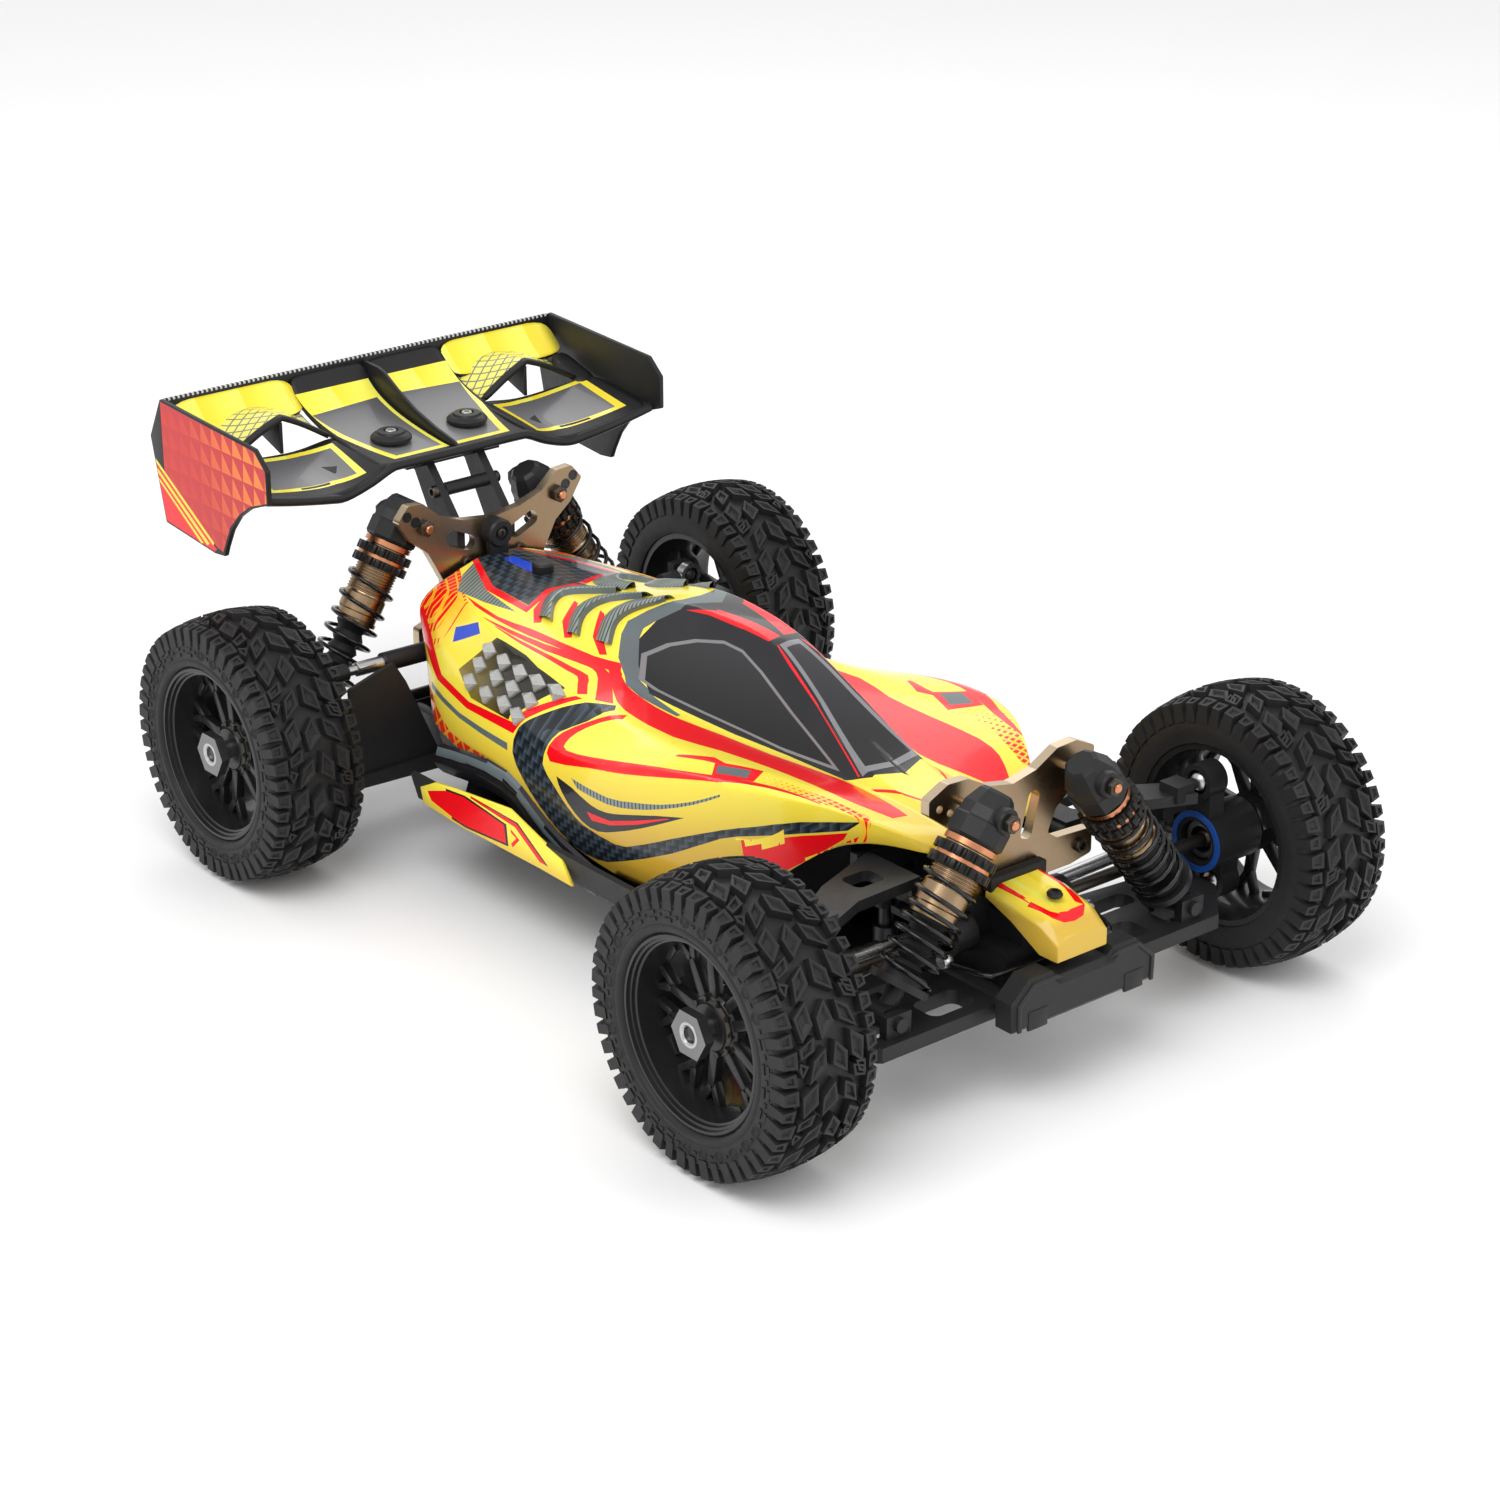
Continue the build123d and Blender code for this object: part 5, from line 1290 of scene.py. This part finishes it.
# ---------------------------------------------------------------- nose cover and bumper details
# The small vacuum-formed nose cover over the front gearbox, its post and clip, the rubber pad
# behind it, and the sway bar that crosses in front of the gearbox.
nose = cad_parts["nose_cover"].copy()
nose.data = nose.data.copy()
nose.name = nose.data.name = "nose_cover_skin"
nose.parent = None
bpy.context.scene.collection.objects.link(nose)
pick(nose)
bpy.ops.object.mode_set(mode="EDIT")
bpy.ops.mesh.select_all(action="SELECT")
bpy.ops.mesh.remove_doubles(threshold=0.000005)
bpy.ops.mesh.dissolve_limited(angle_limit=math.radians(1))
bpy.ops.mesh.normals_make_consistent(inside=False)
bpy.ops.object.mode_set(mode="OBJECT")
nose_yellow_shaded = lacquer("nose_yellow_shaded")
# Lower down the cover the yellow darkens to a deep gold: painted shade.
nose_shade = (nose_yellow_shaded.z * 1000).ramp(75.5, 69.0)
nose_yellow_shaded.set("Base Color", nose_shade.blend((1.0, 0.80, 0.07), (0.62, 0.40, 0.05)))
nose_yellow_shaded.set("Roughness", nose_yellow_shaded.noise(40) * 0.1 + 0.16)
coat(nose, nose_yellow_shaded.material)
change(nose, "BEVEL", width=0.5 * MM, segments=2, angle_limit=math.radians(35))
for side in (1, -1):
    lay_film(nose,
             (red_paint.material, [(193, 13 * side, 78), (214, 12 * side, 77), (225, 9 * side, 75),
                                   (229, 5 * side, 74), (230, 0, 74)],
              [(193, 9.5 * side, 78), (213, 9 * side, 77), (221, 6.5 * side, 76), (224, 4 * side, 75),
               (225, 0, 75)]),
             (wing_yellow.material, [(193, 6 * side, 78), (211, 5.2 * side, 77.5), (219, 3 * side, 76)],
              [(193, 3.2 * side, 78), (211, 2.6 * side, 77.5), (218, 1.4 * side, 76.5)]))
pick(nose)
bpy.ops.object.shade_smooth_by_angle(angle=math.radians(25))
link_out(nose, "root", "shell_paint", "nose_cover")
front_bits = [
    coat(plate("nose_pad", [(192.2, -14.5), (197, -14.5), (197, 14.5), (192.2, 14.5)], "z", 74.0, 80.0,
               0.8), boot_rubber),
    fitted("nose_clip", [(0, 0), (3.0, 0), (3.2, 0.8), (2.6, 1.8), (1.3, 2.2), (1.2, 1.4), (0, 1.4)], 20,
           30,
           (216, 0, 76.0), (0.12, 0, 1), nylon),
    coat(rod_along("sway_bar", [(197, -37, 53), (206, -35, 52.5), (214, -32, 52), (216.5, -26, 52),
                                (216.8, 0, 52), (216.5, 26, 52), (214, 32, 52), (206, 35, 52.5),
                                (197, 37, 53)], 1.1), coil_black)]
for side in (1, -1):
    sway_end = [(0, -2.2), (2.6, -2.2), (3.0, -1.4), (3.0, 1.4), (2.6, 2.2), (0, 2.2)]
    front_bits.append(fitted("sway_end", sway_end, 16, 30, (196.5, 37 * side, 53), (0, 1, 0),
                             steel.material))
    front_bits.append(coat(plate("bumper_rib", [(side * 12, 53.5), (side * 16, 55.4), (side * 27.4, 55.4),
                                                (side * 35.8, 47.8), (side * 35.4, 37),
                                                (side * 33.5, 37), (side * 33.8, 47), (side * 26.6, 53.6),
                                                (side * 16, 53.6)], "x", 234.0, 235.2, 0.4), arm_nylon))
    front_bits.append(coat(plate("arm_holder_cap",
                                 [(side * 20, 36), (side * 30, 36), (side * 30, 44), (side * 20, 44)], "x",
                                 233.6, 234.9, 0.5), nylon))
link_out(joined("front_fittings", front_bits), "root", "black_plastic")


# ---------------------------------------------------------------- screws, nuts and small links
# Shouldered screws and nuts through the towers and arms, wheel nut collars with black plugs in
# their bores as painted shade for the dark threads, blue seals at the front hubs, and black sleeves on the
# camber links.
blue_seal = plain("blue_seal", (0.012, 0.07, 0.32), 0.3, coat=0.3)
tower_bits = []
for side in (1, -1):
    for x, y, z, way in ((216.6, 26.4, 113.9, 1), (-169.1, 35.8, 133.3, -1)):
        boss = [(0, -6.0), (5.6, -6.0), (5.2, 0.6), (4.6, 1.4), (0, 1.4)]
        tower_bits.append(fitted("bolt_boss", boss, 24, 30, (x, y * side, z), (way, 0, 0), nylon))
        tower_bits.append(aimed(nut("bolt_nut", 3.7, 2.8, dark_steel.material),
                                (x + 1.3 * way, y * side, z), (way, 0, 0)))
        tip = [(0, 0), (1.9, 0), (1.9, 0.8), (1.4, 1.2), (0, 1.2)]
        tower_bits.append(fitted("bolt_tip", tip, 16, 35, (x + 4.0 * way, y * side, z), (way, 0, 0),
                                 copper))
    tower_bits.append(aimed(nut("tower_nut", 4.0, 3.0, dark_steel.material), (-140.1, 35.8 * side, 133.3),
                            (1, 0, 0)))
    tip = [(0, 0), (2.0, 0), (2.0, 1.6), (1.5, 2.1), (0, 2.1)]
    tower_bits.append(fitted("tower_tip", tip, 16, 35, (-137.2, 35.8 * side, 133.3), (1, 0, 0), copper))
    # Thin black dishes on the spare holes of the rear tower: painted shade standing for the dark of the
    # open holes.
    for y, z in ((40.5, 136.6), (44.7, 139.8)):
        hole = [(0, 0), (1.9, 0), (2.4, 0.15), (2.4, 0.3), (1.7, 0.3), (1.6, 0.1), (0, 0.1)]
        tower_bits.append(fitted("tower_hole", hole, 16, 35, (-140.1, y * side, z), (1, 0, 0),
                                 ink_paint.material))
    tower_bits.append(aimed(cap_screw("front_tower_screw", 2.8, 2.2, dark_steel.material),
                            (192, 36 * side, 78), (1, 0, 0)))
    for x, y in ((-60, 30), (-20, 42), (40, 42), (70, 30), (-150, 12)):
        tower_bits.append(aimed(cap_screw("chassis_screw", 3.0, 0.7, steel.material), (x, y * side, 26.2),
                                (0, 0, -1)))
for x, z in ((-160, 140), (-186, 152)):
    tube = [(0, 0), (3.0, 0), (3.0, 22.8), (0, 22.8)]
    tower_bits.append(fitted("mount_tube", tube, 20, 30, (x, -11.4, z), (0, 1, 0), nylon))
for side in (1, -1):
    for x, z in ((-160, 140), (-186, 152)):
        tower_bits.append(aimed(cap_screw("mount_screw", 2.8, 2.4, dark_steel.material),
                                (x, 15.5 * side, z), (0, side, 0)))
link_out(joined("tower_fittings", tower_bits), "root", "steel")
for side, hand in ((1, "left"), (-1, "right")):
    low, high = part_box(f"rear_{hand}_camber_link")
    middle_x = (low[0] + high[0]) / 2 / MM
    start, stop = Vector((middle_x, 36 * side, 81)), Vector((middle_x, 102 * side, 82))
    run = (stop - start).normalized()
    sleeve = coat(turned("link_sleeve", [(2.3, 5), (4.3, 5), (4.3, 31), (3.9, 31.6), (2.3, 31.6)], 24, 30),
                  nylon)
    hexagon = aimed(nut("link_hexagon", 3.4, 9.0, steel.material), (0, 36, 0), (0, 1, 0))
    outer = coat(turned("link_end", [(2.3, 50), (3.8, 50), (3.8, 59), (2.3, 59)], 24, 30), nylon)
    dress = aimed(joined(f"rear_{hand}_link_sleeves", [sleeve, outer, hexagon]), start, run)
    link_out(dress, f"rear_{hand}_link", "black_plastic")
rim_half_width = 20.0
for corner, (x, y, z) in wheel_middles.items():
    side = 1 if y > 0 else -1
    collar = coat(turned("nut_collar", [(3.3, -5.0), (5.4, -5.0), (5.4, -0.6), (4.9, 0.0), (3.9, 0.0),
                                        (3.3, -0.6)], 32, 30), steel.material)
    # A black plug a little way into the nut's bore: painted shade for the dark threaded hole.
    bore = coat(turned("nut_bore", [(0, -2.2), (3.4, -2.2), (3.4, -1.6), (0, -1.2)], 24),
                ink_paint.material)
    flange = coat(turned("nut_flange", [(6.0, -13.6), (10.6, -13.6), (10.9, -13.0), (10.2, -11.2),
                                        (8.2, -9.6), (6.0, -9.6)], 36, 30), dark_steel.material)
    piece = joined(f"{corner}_nut_detail", [collar, bore, flange])
    link_out(aimed(piece, (x, y + (rim_half_width + 0.1) * side, z), (0, side, 0)), f"{corner}_wheel",
             "steel")
    hand = "left" if side > 0 else "right"
    if corner.startswith("front"):
        seal = coat(turned("hub_seal", [(10.4, 0), (12.8, 0), (12.8, 0.8), (10.4, 0.8)], 40, 30), blue_seal)
        seal.name = f"front_{hand}_hub_seal"
        link_out(aimed(seal, (189, 105.6 * side, 58), (0, -side, 0)), f"front_{hand}_knuckle",
                 "black_plastic")
